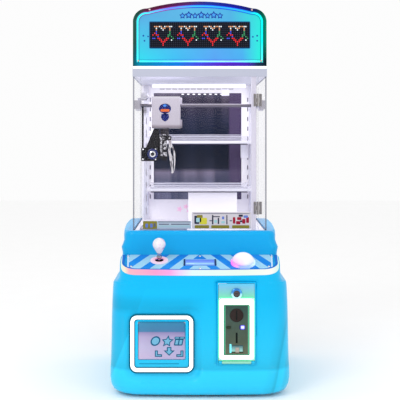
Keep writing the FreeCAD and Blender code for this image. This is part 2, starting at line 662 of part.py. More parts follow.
def light_post():
    post = rounded_xy(144.5, 157.5, -134, -121, 2, DECK_TOP, CAB_TOP)
    return post.cut(box(148, 154, -135, -132.5, 440, 856))


def roof_box():
    wall = 3
    tray = box(-CAB_X - 1, CAB_X + 1, CAB_FRONT, CAB_BACK, CAB_TOP, ROOF_TOP)
    return tray.cut(box(-184, 184, CAB_FRONT + wall, CAB_BACK - wall, CAB_TOP - 1, ROOF_TOP - wall))


def ceiling_panel():
    """Flat ceiling, and the light bar along its back edge."""
    return [box(-184, 184, CAB_FRONT + 3, CAB_BACK - 3, CAB_TOP + 1, CAB_TOP + 4),
            box(-150, 150, 226, 240, CAB_TOP - 5, CAB_TOP + 1)]


# Marquee

def marquee_wire(y):
    """Flat foot, straight sides, round shoulders and a low arch."""
    x, z0, z1, top = MARQUEE_X, MARQUEE_BASE, MARQUEE_SIDE_TOP, MARQUEE_APEX
    shoulder_x, shoulder_z = 147.0, top - 19.5
    corner_x, corner_z = x - 11, z1 + 29
    return Part.Wire([
        Part.LineSegment(V(-x, y, z0), V(x, y, z0)).toShape(),
        Part.LineSegment(V(x, y, z0), V(x, y, z1)).toShape(),
        Part.Arc(V(x, y, z1), V(corner_x, y, corner_z), V(shoulder_x, y, shoulder_z)).toShape(),
        Part.Arc(V(shoulder_x, y, shoulder_z), V(0, y, top), V(-shoulder_x, y, shoulder_z)).toShape(),
        Part.Arc(V(-shoulder_x, y, shoulder_z), V(-corner_x, y, corner_z), V(-x, y, z1)).toShape(),
        Part.LineSegment(V(-x, y, z1), V(-x, y, z0)).toShape(),
    ])


def marquee_slab(inset, depth0, depth1):
    """The marquee's outline, drawn in by an inset, between two depths behind its front."""
    wire = marquee_wire(CAB_FRONT + depth0)
    if inset:
        wire = wire.makeOffset2D(-inset)
    return Part.Face(wire).extrude(V(0, depth1 - depth0, 0))


def marquee_housing():
    depth = MARQUEE_BACK - CAB_FRONT
    house = marquee_slab(0, 6, depth).cut(marquee_slab(3, 6, depth - 3))
    foot = box(-184, 184, CAB_FRONT + 2, MARQUEE_BACK - 2, ROOF_TOP, MARQUEE_BASE)
    return fuse([house, foot])


def marquee_bezel():
    return marquee_slab(0, 0, 6).cut(marquee_slab(10, 0, 6))


def marquee_light_ring():
    return marquee_slab(10, 1, 6).cut(marquee_slab(16, 1, 6))


def marquee_face():
    x0, x1, z0, z1 = MATRIX
    return marquee_slab(16, 3, 6).cut(box(x0, x1, CAB_FRONT, 0, z0, z1))


def marquee_display():
    x0, x1, z0, z1 = MATRIX
    edge = 0.2
    return box(x0 + edge, x1 - edge, CAB_FRONT + 2.5, CAB_FRONT + 16, z0 + edge, z1 - edge)


# Gantry: fixed rails, travelling bridge, carriage

def gantry_rails():
    rails = []
    for x in (-RAIL_X, RAIL_X):
        blocks = [box(x - 7.5, x + 7.5, y, y + 9, RAIL_Z - 12, RAIL_Z + 12) for y in (-137, 217)]
        rails.append(fuse([rod_y(-137, 226, x, RAIL_Z, ROD_R)] + blocks))
    return rails


def bridge_rods():
    return [rod_x(-170, 170, y, RAIL_Z, ROD_R) for y in ROD_YS]


def bridge_block(x):
    block = rounded_xy(x - 6.5, x + 6.5, -105, -45, 2, RAIL_Z - 14, RAIL_Z + 14)
    return cut(block, [rod_y(-110, -40, x, RAIL_Z, ROD_R + FIT)] + bridge_rods())


def bridge_ends():
    """Two sliding blocks; the left one carries the drive motor."""
    motor_x, motor_z = -156.0, 811.0
    motor = rod_y(-110, -62, motor_x, motor_z, 10)
    nose = rod_y(-116, -110, motor_x, motor_z, 4)
    bracket = box(-176, -150, -90, -84, RAIL_Z + 14, 806)
    return [fuse([bridge_block(-RAIL_X), motor, nose, bracket]), bridge_block(RAIL_X)]


def carriage_cover():
    x0, x1, y0, y1 = COVER
    cover = rounded_xy(x0, x1, y0, y1, 4, COVER_Z0, COVER_Z1)
    inside = rounded_xy(x0 + 2, x1 - 2, y0 + 2, y1 - 2, 3, COVER_Z0 - 1, COVER_Z1 - 2)
    cover = cut(cover, [inside] + [rod_x(-FAR, FAR, y, RAIL_Z, ROD_R + 2) for y in ROD_YS])
    ears = [box(x1 - 1, x1 + 5, -66, -62, z, z + 24) for z in (721, 784)]
    return fuse([cover] + ears)


def carriage_block():
    block = box(COVER[0] + 2, COVER[1] - 2, -106, -44, RAIL_Z - 13, RAIL_Z + 13)
    return cut(block, [rod_x(-FAR, FAR, y, RAIL_Z, ROD_R + FIT) for y in ROD_YS])


def lift_winch():
    """Base plate, two cheeks, the drum with its flanges and the motor."""
    plate = box(COVER[0] + 2, COVER[1] - 2, -104, -46, COVER_Z0, COVER_Z0 + 4)
    cheeks = [box(x, x + w, -95, -55, COVER_Z0 + 4, RAIL_Z - 13) for x, w in ((-124, 4), (-62, 3))]
    drum = rod_x(-118, -84, HEAD_Y, DRUM_Z, 15)
    flanges = [rod_x(x, x + 3, HEAD_Y, DRUM_Z, 19) for x in (-120, -86)]
    motor = rod_x(-83, -62, HEAD_Y, DRUM_Z, 16)
    return fuse([plate, drum, motor] + cheeks + flanges)


def lift_coil():
    return tube_z(700, COVER_Z0, HEAD_X, HEAD_Y, 12.5, 9)


# Claw: a hanging frame with a motor and one swinging clip finger

def claw_frame():
    side_plate = prism_xz([(-131, 718), (-114.5, 718), (-114.5, 700), (-100, 700), (-100, 640), (-121, 630),
                           (-153, 630), (-153, 665)], -77, -73)
    column = rounded_xy(-110, -94, -84, -66, 2, 650, 697)
    cap = rod_z(697, 700, HEAD_X, HEAD_Y, 13)
    ears = [box(-95, -81, y, y + 3, 686, 697.5) for y in (-84, -69)]
    neck = box(-108, -96, -80, -70, 628, 651)
    anvil = box(-96.5, -92, -82, -68, 630, 650)
    frame = fuse([side_plate, column, cap, neck, anvil] + ears)
    return frame.cut(rod_y(-90, -60, FINGER_PIN_X, FINGER_PIN_Z, FINGER_PIN_R + FIT))


def claw_motor():
    """Motor case, its round front ring, and the cable guide strip that stands on it."""
    case = rounded_xz(-165.5, -121, 627, 665, 2, -100, -77)
    ring = rod_y(-104, -100, -133, 647, 15.5).cut(rod_y(-105, -101, -133, 647, 8))
    guide = box(-164, -159, -88, -85, 665, 787)
    return fuse([case, ring, guide])


def claw_finger():
    """Curved finger with two slots, on a pin between the frame's ears."""
    outer = [(-81.6, 692), (-79.4, 684), (-80, 676), (-73, 664), (-69.5, 648), (-69, 628), (-70.5, 610),
             (-74, 594), (-78, 591), (-80.5, 593), (-80, 600)]
    inner = [(-84, 618), (-86.5, 640), (-90.5, 655), (-87, 668), (-88.5, 680), (-90.4, 691)]
    boss = rod_y(FINGER_Y0, FINGER_Y1, FINGER_PIN_X, FINGER_PIN_Z, 4.5)
    pin = rod_y(-86, -64, FINGER_PIN_X, FINGER_PIN_Z, FINGER_PIN_R)
    lower_slot = [(-77, 612), (-76.4, 600), (-75, 595), (-73, 612), (-72.5, 632), (-75, 634)]
    upper_slot = [(-83, 652), (-78, 640), (-74, 646), (-77, 662), (-82, 668)]
    blade = cut(prism_xz(outer + inner, FINGER_Y0, FINGER_Y1), [prism_xz(lower_slot, -90, -60),
                                                                prism_xz(upper_slot, -90, -60)])
    return fuse([blade, boss, pin])


SUBPARTS = (
    base_shell, collar_shell, chassis_frame, levelling_feet,
    prize_frame, prize_light_ring, prize_flap, prize_chute, hinge_pins,
    coin_door_frame, coin_door_plate, coin_light_frame, coin_acceptor, coin_return_button,
    coin_return_flap, lock_cylinder,
    cash_box, power_supply, control_board, power_inlet, rear_door,
    panel_plate, panel_screws, panel_light_strip, display_module,
    joystick_housing, joystick_gimbal, joystick_shaft, joystick_knob,
    button_rim, button_dome, button_spring, button_microswitch,
    deck, fixed_glazing, front_door, frame_hinge_leaves, door_hinge_leaves,
    rear_frame, rear_glass, shelf_supports, shelves, light_post, roof_box, ceiling_panel,
    marquee_housing, marquee_bezel, marquee_light_ring, marquee_face, marquee_display,
    gantry_rails, bridge_rods, bridge_ends, carriage_cover, carriage_block, lift_winch, lift_coil,
    claw_frame, claw_motor, claw_finger,
)


def save(name, shapes):
    """One STEP file per sub-part. Several solids in one sub-part stay separate."""
    solids = []
    for shape in shapes if isinstance(shapes, list) else [shapes]:
        solids += shape.removeSplitter().Solids
    result = solids[0] if len(solids) == 1 else Part.makeCompound(solids)
    result.exportStep("parts/%s.step" % name)
    print("%-22s solids %2d  valid %s" % (name, len(solids), result.isValid()))


for build in SUBPARTS:
    save(build.__name__, build())
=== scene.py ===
import json
import math

import bmesh
import bpy
from mathutils import Matrix, Vector

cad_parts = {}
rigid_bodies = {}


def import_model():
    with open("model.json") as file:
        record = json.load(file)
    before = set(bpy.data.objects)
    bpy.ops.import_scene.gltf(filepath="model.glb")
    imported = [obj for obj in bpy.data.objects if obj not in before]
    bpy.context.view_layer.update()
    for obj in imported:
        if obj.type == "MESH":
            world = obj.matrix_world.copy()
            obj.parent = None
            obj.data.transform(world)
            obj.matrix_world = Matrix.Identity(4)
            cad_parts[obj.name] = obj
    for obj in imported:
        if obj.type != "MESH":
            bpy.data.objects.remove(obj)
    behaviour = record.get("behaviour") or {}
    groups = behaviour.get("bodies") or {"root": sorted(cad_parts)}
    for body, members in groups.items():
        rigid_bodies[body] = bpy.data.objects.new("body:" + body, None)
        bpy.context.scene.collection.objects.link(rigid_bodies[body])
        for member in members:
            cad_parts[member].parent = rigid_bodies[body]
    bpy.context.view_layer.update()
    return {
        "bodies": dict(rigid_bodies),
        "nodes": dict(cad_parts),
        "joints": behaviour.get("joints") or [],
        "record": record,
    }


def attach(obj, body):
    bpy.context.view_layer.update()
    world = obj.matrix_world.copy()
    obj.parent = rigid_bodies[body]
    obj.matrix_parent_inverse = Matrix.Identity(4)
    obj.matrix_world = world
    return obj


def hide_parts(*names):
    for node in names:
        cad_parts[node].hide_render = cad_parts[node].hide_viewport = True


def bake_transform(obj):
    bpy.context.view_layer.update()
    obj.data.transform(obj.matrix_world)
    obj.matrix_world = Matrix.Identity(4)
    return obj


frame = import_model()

NODES = frame["nodes"]
MM = 0.001

CAMERA_PLACE = (-0.016, -2.705, 0.681)      # metres, level with the middle of the cabinet
CAMERA_LENS, CAMERA_SENSOR = 82.9, 36       # millimetres
CAMERA_SHIFT = (0.015, -0.145)
STICK = (-110, -208)                        # the joystick's and button's middles, in X and Y
BUTTON = (116, -225)
COIN_X, LOCK_Z = 97, 279                    # middle of the coin door, and its lock
MOTOR_X, MOTOR_Z = -133, 647                # middle of the claw motor's face
FACE_Y = -139.0                             # front of the marquee's face panel
REAR_Y = 245.0                              # front of the rear frame


# ---------------------------------------------------------------- camera, floor and light

def make_camera():
    camera = bpy.data.objects.new("camera", bpy.data.cameras.new("camera"))
    bpy.context.scene.collection.objects.link(camera)
    camera.location = CAMERA_PLACE
    camera.rotation_euler = (math.radians(90), 0, 0)
    camera.data.lens, camera.data.sensor_width = CAMERA_LENS, CAMERA_SENSOR
    camera.data.shift_x, camera.data.shift_y = CAMERA_SHIFT
    bpy.context.scene.camera = camera


def area_light(name, place, aim, size, watts, color=(1, 1, 1)):
    light = bpy.data.objects.new(name, bpy.data.lights.new(name, "AREA"))
    bpy.context.scene.collection.objects.link(light)
    light.data.shape = "RECTANGLE"
    light.data.size, light.data.size_y = size
    light.data.energy = watts
    light.data.color = color
    light.location = place
    light.rotation_euler = (Vector(aim) - Vector(place)).to_track_quat("-Z", "Y").to_euler()


def make_studio():
    world = bpy.data.worlds.new("studio")
    bpy.context.scene.world = world
    world.use_nodes = True
    background = world.node_tree.nodes["Background"]
    background.inputs["Color"].default_value = (1, 1, 1, 1)
    background.inputs["Strength"].default_value = 0.98
    bpy.context.scene.view_settings.view_transform = "Standard"
    area_light("key_light", (-1.6, -2.4, 2.2), (0, 0, 0.5), (1.3, 1.3), 26)
    area_light("fill_light", (1.8, -2.2, 1.2), (0, 0, 0.4), (1.2, 1.2), 9)
    area_light("cabinet_light", (0, 0.02, 0.852), (0, 0.02, 0), (0.3, 0.28), 0.9, (0.98, 0.985, 1))
    bpy.ops.mesh.primitive_grid_add(x_subdivisions=4, y_subdivisions=4, size=16, location=(0, 0, 0))
    floor = bpy.context.object
    floor.name = "floor"
    floor.data.materials.append(
        plastic("floor_paint", (0.97, 0.97, 0.97), 0.9, grain=30, tint=0.01, bump=0.01))


# ---------------------------------------------------------------- materials

class Shader:
    """A Principled material with helpers for the node graph behind its colour and surface."""

    def __init__(self, name, color, roughness, metallic=0.0):
        self.material = bpy.data.materials.new(name)
        self.material.use_nodes = True
        self.tree = self.material.node_tree
        self.bsdf = self.tree.nodes["Principled BSDF"]
        self.set("Base Color", (*color, 1))
        self.set("Roughness", roughness)
        self.set("Metallic", metallic)
        self.set("Specular IOR Level", 0.5 if metallic else 0.12)
        self.color = color

    def set(self, socket, value):
        self.bsdf.inputs[socket].default_value = value

    def node(self, kind, **inputs):
        made = self.tree.nodes.new(kind)
        for name, value in inputs.items():
            made.inputs[name].default_value = value
        return made

    def link(self, source, target):
        self.tree.links.new(source, target)

    def place(self):
        return self.node("ShaderNodeTexCoord").outputs["Object"]

    def noise(self, scale, detail=4.0, stretch=None):
        texture = self.node("ShaderNodeTexNoise", Scale=scale, Detail=detail)
        source = self.place()
        if stretch:
            mapping = self.node("ShaderNodeMapping")
            mapping.inputs["Scale"].default_value = stretch
            self.link(source, mapping.inputs["Vector"])
            source = mapping.outputs["Vector"]
        self.link(source, texture.inputs["Vector"])
        return texture.outputs["Fac"]

    def ramp(self, source, stops):
        ramp = self.node("ShaderNodeValToRGB")
        elements = ramp.color_ramp.elements
        while len(elements) < len(stops):
            elements.new(0.5)
        for element, (place, color) in zip(elements, stops):
            element.position = place
            element.color = (*color, 1)
        self.link(source, ramp.inputs["Fac"])
        return ramp.outputs["Color"]

    def axis(self, index, low, high):
        """0 to 1 as the object's own X, Y or Z runs from low to high metres."""
        return self.node_range(self.coord(index), low, high)

    def coord(self, index):
        """The object's own X, Y or Z in metres."""
        split = self.node("ShaderNodeSeparateXYZ")
        self.link(self.place(), split.inputs[0])
        return split.outputs[index]

    def node_range(self, source, low, high):
        """0 to 1 as a value runs from low to high, and held there beyond them."""
        spread = self.node("ShaderNodeMapRange")
        spread.inputs["From Min"].default_value = low
        spread.inputs["From Max"].default_value = high
        self.link(source, spread.inputs["Value"])
        return spread.outputs["Result"]

    def math(self, operation, a, b=0.0):
        made = self.node("ShaderNodeMath")
        made.operation = operation
        for socket, value in zip(made.inputs, (a, b)):
            if isinstance(value, (int, float)):
                socket.default_value = value
            else:
                self.link(value, socket)
        return made.outputs[0]

    def hypot(self, a, b):
        """The length of the line whose two parts are a and b."""
        return self.math("SQRT", self.math("ADD", self.math("POWER", a, 2.0), self.math("POWER", b, 2.0)))

    def band(self, value, low, high):
        """1 where low < value < high, else 0."""
        above = self.math("GREATER_THAN", value, low)
        return self.math("MULTIPLY", above, self.math("LESS_THAN", value, high))

    def mix(self, fac, a, b, blend="MIX"):
        made = self.node("ShaderNodeMix")
        made.data_type = "RGBA"
        made.blend_type = blend
        for index, value in ((0, fac), (6, a), (7, b)):
            if isinstance(value, tuple):
                made.inputs[index].default_value = (*value, 1)
            elif isinstance(value, (int, float)):
                made.inputs[index].default_value = value
            else:
                self.link(value, made.inputs[index])
        return made.outputs[2]

    def surface(self, scale, roughness_spread, bump, depth=0.0002, stretch=None):
        """Fine variation of roughness, and a bump of the same grain."""
        fac = self.noise(scale, 5.0, stretch)
        rough = self.bsdf.inputs["Roughness"].default_value
        spread = self.node("ShaderNodeMapRange")
        spread.inputs["To Min"].default_value = max(0.0, rough - roughness_spread)
        spread.inputs["To Max"].default_value = min(1.0, rough + roughness_spread)
        self.link(fac, spread.inputs["Value"])
        self.link(spread.outputs["Result"], self.bsdf.inputs["Roughness"])
        if bump:
            bumps = self.node("ShaderNodeBump", Strength=bump, Distance=depth)
            self.link(fac, bumps.inputs["Height"])
            self.link(bumps.outputs["Normal"], self.bsdf.inputs["Normal"])

    def shade(self, source, amount, scale=6.0):
        """Colour from source, varied slightly over the surface."""
        fac = self.noise(scale, 3.0)
        low = 1.0 - amount
        tone = self.ramp(fac, [(0.3, (low, low, low)), (0.7, (1, 1, 1))])
        return self.mix(1.0, source, tone, "MULTIPLY")

    def base(self, source):
        self.link(source, self.bsdf.inputs["Base Color"])

    def glow(self, source, strength):
        if isinstance(source, tuple):
            self.set("Emission Color", (*source, 1))
        else:
            self.link(source, self.bsdf.inputs["Emission Color"])
        self.set("Emission Strength", strength)


def rgb(red, green, blue):
    """A screen colour from 0 to 255 as the linear value that the shaders take."""
    return tuple(
        ((c / 255 + 0.055) / 1.055) ** 2.4 if c > 10 else c / 255 / 12.92 for c in (red, green, blue))


def varied(shader, tint, scale):
    dark = tuple(c * (1 - tint) for c in shader.color)
    shader.base(shader.ramp(shader.noise(scale, 3.0), [(0.3, dark), (0.7, shader.color)]))


def plastic(name, color, roughness=0.35, grain=900, tint=0.05, bump=0.06, coat=0.0):
    s = Shader(name, color, roughness)
    varied(s, tint, 7.0)
    s.surface(grain, 0.05, bump)
    s.set("Coat Weight", coat)
    s.set("Coat Roughness", 0.08)
    return s.material


def metal(name, color, roughness=0.3, stretch=(1, 1, 1), scale=500, bump=0.05):
    s = Shader(name, color, roughness, 1.0)
    varied(s, 0.12, 20.0)
    s.surface(scale, 0.09, bump, 0.0001, stretch)
    return s.material


def lamp(name, color, strength, grain=120):
    """A lit translucent diffuser: bright, with slight unevenness where the LEDs sit."""
    s = Shader(name, tuple(c * 0.4 for c in color), 0.35)
    dim = tuple(c * 0.93 for c in color)
    s.glow(s.ramp(s.noise(grain, 2.0), [(0.25, dim), (0.75, color)]), strength)
    s.surface(600, 0.05, 0.03)
    return s.material


def lit_ramp(name, index, stops, strength, body=0.12, roughness=0.3, coat=0.0, scale=6.0, tint=0.04):
    """A glowing colour that runs along one axis, for back-lit films and for painted glints, halos and
    highlights: stops are (millimetres, colour).
    """
    low, high = stops[0][0], stops[-1][0]
    s = Shader(name, (body, body, body), roughness)
    along = s.axis(index, low * MM, high * MM)
    color = s.ramp(along, [((place - low) / (high - low), c) for place, c in stops])
    s.glow(s.shade(color, tint, scale), strength)
    s.base(s.shade(color, tint, scale))
    s.surface(700, 0.05, 0.02)
    s.set("Coat Weight", coat)
    return s.material


# ---------------------------------------------------------------- mesh helpers, in millimetres

def mesh_object(name, bm, material, smooth=40.0):
    """A mesh drawn in millimetres, with edges sharper than the angle left sharp."""
    bmesh.ops.recalc_face_normals(bm, faces=bm.faces)
    mesh = bpy.data.meshes.new(name)
    bm.to_mesh(mesh)
    bm.free()
    mesh.transform(Matrix.Scale(MM, 4))
    mesh.materials.append(material)
    mesh.polygons.foreach_set("use_smooth", [True] * len(mesh.polygons))
    mesh.set_sharp_from_angle(angle=math.radians(smooth))
    made = bpy.data.objects.new(name, mesh)
    bpy.context.scene.collection.objects.link(made)
    return made


def add_box(bm, x0, x1, y0, y1, z0, z1):
    corners = [bm.verts.new((x, y, z)) for x in (x0, x1) for y in (y0, y1) for z in (z0, z1)]
    for loop in ((0, 1, 3, 2), (4, 6, 7, 5), (0, 4, 5, 1), (2, 3, 7, 6), (0, 2, 6, 4), (1, 5, 7, 3)):
        bm.faces.new([corners[i] for i in loop])


def bevelled(bm, width, segments=2):
    bmesh.ops.recalc_face_normals(bm, faces=bm.faces)
    bmesh.ops.bevel(bm, geom=list(bm.edges), offset=width, segments=segments, profile=0.6, affect="EDGES",
                    clamp_overlap=True)


def block(name, x0, x1, y0, y1, z0, z1, material, edge=0.8, segments=2):
    bm = bmesh.new()
    add_box(bm, x0, x1, y0, y1, z0, z1)
    bevelled(bm, edge, segments)
    return mesh_object(name, bm, material)


def rounded_outline(x0, x1, z0, z1, r, steps=10):
    """Points of a rounded rectangle, anticlockwise seen from the front."""
    points = []
    for cx, cz, start in (
            (x1 - r, z0 + r, -90), (x1 - r, z1 - r, 0), (x0 + r, z1 - r, 90), (x0 + r, z0 + r, 180)):
        for i in range(steps + 1):
            a = math.radians(start + 90 * i / steps)
            points.append((cx + r * math.cos(a), cz + r * math.sin(a)))
    return points


def join_rows(bm, a, b):
    """A closed strip of faces between two rows of vertices."""
    for i in range(len(a)):
        j = (i + 1) % len(a)
        bm.faces.new((a[i], a[j], b[j], b[i]))


def loft_rings(bm, rings):
    """Faces between rings of points that have the same count."""
    rows = [[bm.verts.new(p) for p in ring] for ring in rings]
    for a, b in zip(rows, rows[1:]):
        join_rows(bm, a, b)
    return rows


def circle(x, z, r, steps, squash=1.0):
    """Points round a circle in X and Z, or an ellipse of squashed height."""
    angles = [2 * math.pi * i / steps for i in range(steps)]
    return [(x + r * math.cos(a), z + r * squash * math.sin(a)) for a in angles]


def front_ring(name, outer, inner, y_front, y_back, material, crown=1.2):
    """A flat ring facing the front, with rounded front edges, between outlines of equal count."""
    half = [(0.0, y_back), (0.0, y_front + crown), (0.06, y_front + 0.3 * crown), (0.16, y_front)]
    bm = bmesh.new()
    rings = []
    for t, y in half + [(1.0 - t, y) for t, y in reversed(half)]:
        rings.append(
            [(x0 + (x1 - x0) * t, y, z0 + (z1 - z0) * t) for (x0, z0), (x1, z1) in zip(outer, inner)])
    rows = loft_rings(bm, rings)
    join_rows(bm, rows[-1], rows[0])
    return mesh_object(name, bm, material)


def lathe(name, profile, material, steps, turn, origin):
    """A piece turned about Z from (radius, height) points, then placed. A zero radius closes it."""
    bm = bmesh.new()
    rows = []
    for r, h in profile:
        angles = [2 * math.pi * i / steps for i in range(steps if r else 1)]
        rows.append([bm.verts.new((r * math.cos(a), r * math.sin(a), h)) for a in angles])
    for a, b in zip(rows, rows[1:]):
        for i in range(steps):
            j = (i + 1) % steps
            if len(a) == 1:
                bm.faces.new((a[0], b[j], b[i]))
            elif len(b) == 1:
                bm.faces.new((a[i], a[j], b[0]))
            else:
                bm.faces.new((a[i], a[j], b[j], b[i]))
    bmesh.ops.transform(bm, matrix=Matrix.Translation(origin) @ turn, verts=bm.verts)
    return mesh_object(name, bm, material, smooth=35.0)


def front_lathe(name, profile, material, steps, origin):
    """A turned piece whose heights run towards the front."""
    return lathe(name, profile, material, steps, Matrix.Rotation(math.radians(90), 4, "X"), origin)


def prism(name, outline, y0, y1, material, edge=0.0):
    """An outline in X and Z, extruded along Y."""
    bm = bmesh.new()
    front = [bm.verts.new((x, y0, z)) for x, z in outline]
    back = [bm.verts.new((x, y1, z)) for x, z in outline]
    bm.faces.new(front)
    bm.faces.new(list(reversed(back)))
    for i in range(len(outline)):
        j = (i + 1) % len(outline)
        bm.faces.new((front[i], back[i], back[j], front[j]))
    if edge:
        bevelled(bm, edge, 2)
    return mesh_object(name, bm, material, smooth=30.0)


def dress(node, material):
    """Gives a CAD node its finish."""
    materials = NODES[node].data.materials
    materials.clear()
    materials.append(material)


def fit(piece, body):
    """Rides a new piece on a body."""
    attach(piece, body)
    return piece


# ---------------------------------------------------------------- the moulded shells

PAD_Y = -256.0
BASE_BACK, BASE_BACK_R, BASE_BOW = 272.0, 30.0, 4.0
PANEL_BACK_Y, PANEL_BACK_Z, PANEL_SLOPE = -172.0, 371.0, 30.0 / 95.0
PANEL_TILT = math.atan(PANEL_SLOPE)
STRIP_H = 13.5
CONSOLE_X, CONSOLE_FRONT, CONSOLE_R = 213.5, -268.0, 45.0
LEDGE_Z = 366.0


def panel_z(y):
    return PANEL_BACK_Z + (y - PANEL_BACK_Y) * PANEL_SLOPE


def smoothstep(t):
    t = min(1.0, max(0.0, t))
    return t * t * (3 - 2 * t)


def blend_rows(table, z):
    """Values of a height table at z, eased between rows."""
    for low, high in zip(table, table[1:]):
        if z <= high[0]:
            t = (z - low[0]) / (high[0] - low[0])
            return [a + (b - a) * t for a, b in zip(low[1:], high[1:])]
    return list(table[-1][1:])


# Height, half-width, front and front corner radius, with a crisper shoulder and skirt than the CAD shell's.
BASE_TABLE = (
    (8, 226, -254, 70), (11, 231, -259, 70), (16, 236, -264, 70), (30, 241, -270, 70), (45, 243, -272, 70),
    (60, 243, -271.5, 70), (72, 243, -269.5, 70), (80, 243, -263, 70), (95, 242.5, -260.5, 70),
    (120, 242, -259, 70), (200, 240.5, -258, 70), (250, 239, -259, 70), (285, 237, -261, 68),
    (298, 235.8, -262, 66), (303, 234.6, -263, 63), (305.5, 231.5, -263.4, 60), (307, 226.5, -263.8, 58),
    (309, 223, -264, 56), (314, 220, -265, 53), (325, 217.5, -267, 49), (340, 216, -268, 46),
    (366, 216, -268, 45),)


def plan_outline(half_x, front, bow, front_r, back, back_r, front_steps=96, corner_steps=16, side_steps=40):
    """Points round the shell, from the middle of the back, in equal counts at every height."""
    points = []
    corner_x, corner_y = half_x - front_r, front + bow + front_r
    back_x, back_y = half_x - back_r, back - back_r
    for i in range(20):
        points.append((back_x * i / 20 * -1, back))
    for i in range(corner_steps):
        a = math.radians(90 + 90 * i / corner_steps)
        points.append((-back_x + back_r * math.cos(a), back_y + back_r * math.sin(a)))
    for i in range(side_steps):
        points.append((-half_x, back_y + (corner_y - back_y) * i / side_steps))
    for i in range(corner_steps):
        a = math.radians(180 + 90 * i / corner_steps)
        points.append((-corner_x + front_r * math.cos(a), corner_y + front_r * math.sin(a)))
    for i in range(front_steps + 1):
        x = -corner_x + 2 * corner_x * i / front_steps
        points.append((x, front + bow * (x / corner_x) ** 2))
    right = [(-x, y) for x, y in reversed(points[:-front_steps - 1])]
    return points + right[:-1]


def rect_distance(x, z, x0, x1, z0, z1, r):
    """Signed distance from a rounded rectangle: negative inside."""
    dx = abs(x - (x0 + x1) / 2) - (x1 - x0) / 2 + r
    dz = abs(z - (z0 + z1) / 2) - (z1 - z0) / 2 + r
    return math.hypot(max(dx, 0), max(dz, 0)) + min(max(dx, dz), 0) - r


def sculpt(x, y, z):
    """The soft dish round the prize door, the flat behind the coin door, and the corner facets."""
    if y > -150:
        return y
    facet = smoothstep((abs(x) - 172) / 40) * smoothstep((z - 60) / 120) * smoothstep((300 - z) / 60)
    y += 7.0 * facet * smoothstep((215 - z) / 160)
    for x0, x1, z0, z1, r, soft in ((-203, 0, 52, 239, 34, 15.0), (40, 154, 88, 313, 10, 9.0)):
        share = smoothstep(
            -rect_distance(x, z, x0 - soft / 2, x1 + soft / 2, z0 - soft / 2, z1 + soft / 2, r) / soft)
        y += (PAD_Y - y) * share
    return y


def shell_top(y):
    """The wall's top: the ledge, then the panel's slope, lower at the front to bare the light strip."""
    if y >= PANEL_BACK_Y:
        return LEDGE_Z
    bare = smoothstep((-y - 190) / 62)
    return panel_z(y) - 0.5 - (STRIP_H - 0.5) * bare


# Openings in the shell's front and back, as X and Z limits and a corner radius.
FRONT_OPENINGS = ((-176, -27, 84, 217, 6), (46, 148, 93, 308, 1))
BACK_OPENINGS = ((-151, 151, 58, 336, 0.5), (166, 204, 28, 58, 0.5))


def shell_heights():
    """Heights of the wall's rows, closer together at the foot and the shoulder."""
    foot = [8, 9, 11, 13, 16, 20, 25, 30, 37, 45, 52, 60]
    wall = [60 + 3.6 * i for i in range(1, 66)]
    shoulder = [300, 302, 303.5, 305, 306.5, 308, 311, 315, 320, 325, 327, 330]
    top = [334 + 4 * i for i in range(9)]
    return sorted(set(round(h, 2) for h in foot + wall + shoulder + top))


def shell_rings():
    """Rows of the outer wall. A column of points ends where it meets the sloping top."""
    rings, ended = [], {}
    for z in shell_heights():
        half_x, front, front_r = blend_rows(BASE_TABLE, z)
        ring = []
        for k, (x, y) in enumerate(plan_outline(half_x, front, BASE_BOW, front_r, BASE_BACK, BASE_BACK_R)):
            point = ended.get(k, (x, sculpt(x, y, z), z))
            over = point[2] - shell_top(point[1])
            if over > 0 and k not in ended:
                below = rings[-1][k]
                under = shell_top(below[1]) - below[2]
                share = under / (under + over)
                point = tuple(a + (b - a) * share for a, b in zip(below, point))
                ended[k] = point
            ring.append(point)
        rings.append(ring)
    return rings


def turn_edges_in(bm, foot_row, top_row):
    """Turns the wall's top in under the panel and the collar, and its foot in and up."""
    inner_top = []
    for v in top_row:
        x, y = v.co.x * 0.86, v.co.y * 0.92
        top = panel_z(y) - STRIP_H if y < PANEL_BACK_Y else LEDGE_Z
        inner_top.append(bm.verts.new((x, y, top)))
    inner_low = [bm.verts.new((v.co.x, v.co.y, v.co.z - 6)) for v in inner_top]
    foot = [bm.verts.new((v.co.x * 0.9, v.co.y * 0.92, v.co.z)) for v in foot_row]
    foot_up = [bm.verts.new((v.co.x, v.co.y, v.co.z + 5)) for v in foot]
    for a, b in ((top_row, inner_top), (inner_top, inner_low), (foot, foot_row), (foot_up, foot)):
        join_rows(bm, a, b)


def in_opening(face):
    c = face.calc_center_median()
    openings = FRONT_OPENINGS if c.y < -200 else BACK_OPENINGS if c.y > 265 else ()
    return any(rect_distance(c.x, c.z, *opening) < 0 for opening in openings)


def base_shell_piece(material):
    bm = bmesh.new()
    rows = loft_rings(bm, shell_rings())
    turn_edges_in(bm, rows[0], rows[-1])
    bmesh.ops.remove_doubles(bm, verts=bm.verts, dist=0.02)
    bmesh.ops.delete(bm, geom=[face for face in bm.faces if in_opening(face)], context="FACES")
    piece = mesh_object("base_shell_moulding", bm, material, smooth=50.0)
    thick = piece.modifiers.new("wall", "SOLIDIFY")
    thick.thickness = 0.0035
    thick.offset = -1.0
    return piece


def cyan_plastic(name, top, low, z_low, z_high, creases=False):
    """Blue-cyan moulded plastic: faint mottling, a fine moulded grain, and colour eased from low to top by
    height, as painted light and shade.
    """
    s = Shader(name, top, 0.3)
    height = s.axis(2, z_low, z_high)
    color = s.shade(s.ramp(height, [(0.0, low), (1.0, top)]), 0.03)
    if creases:
        color = crease_shading(s, color)
    s.base(color)
    s.surface(1500, 0.05, 0.05, 0.0001)
    s.set("Coat Weight", 0.03)
    s.set("Coat Roughness", 0.12)
    return s.material


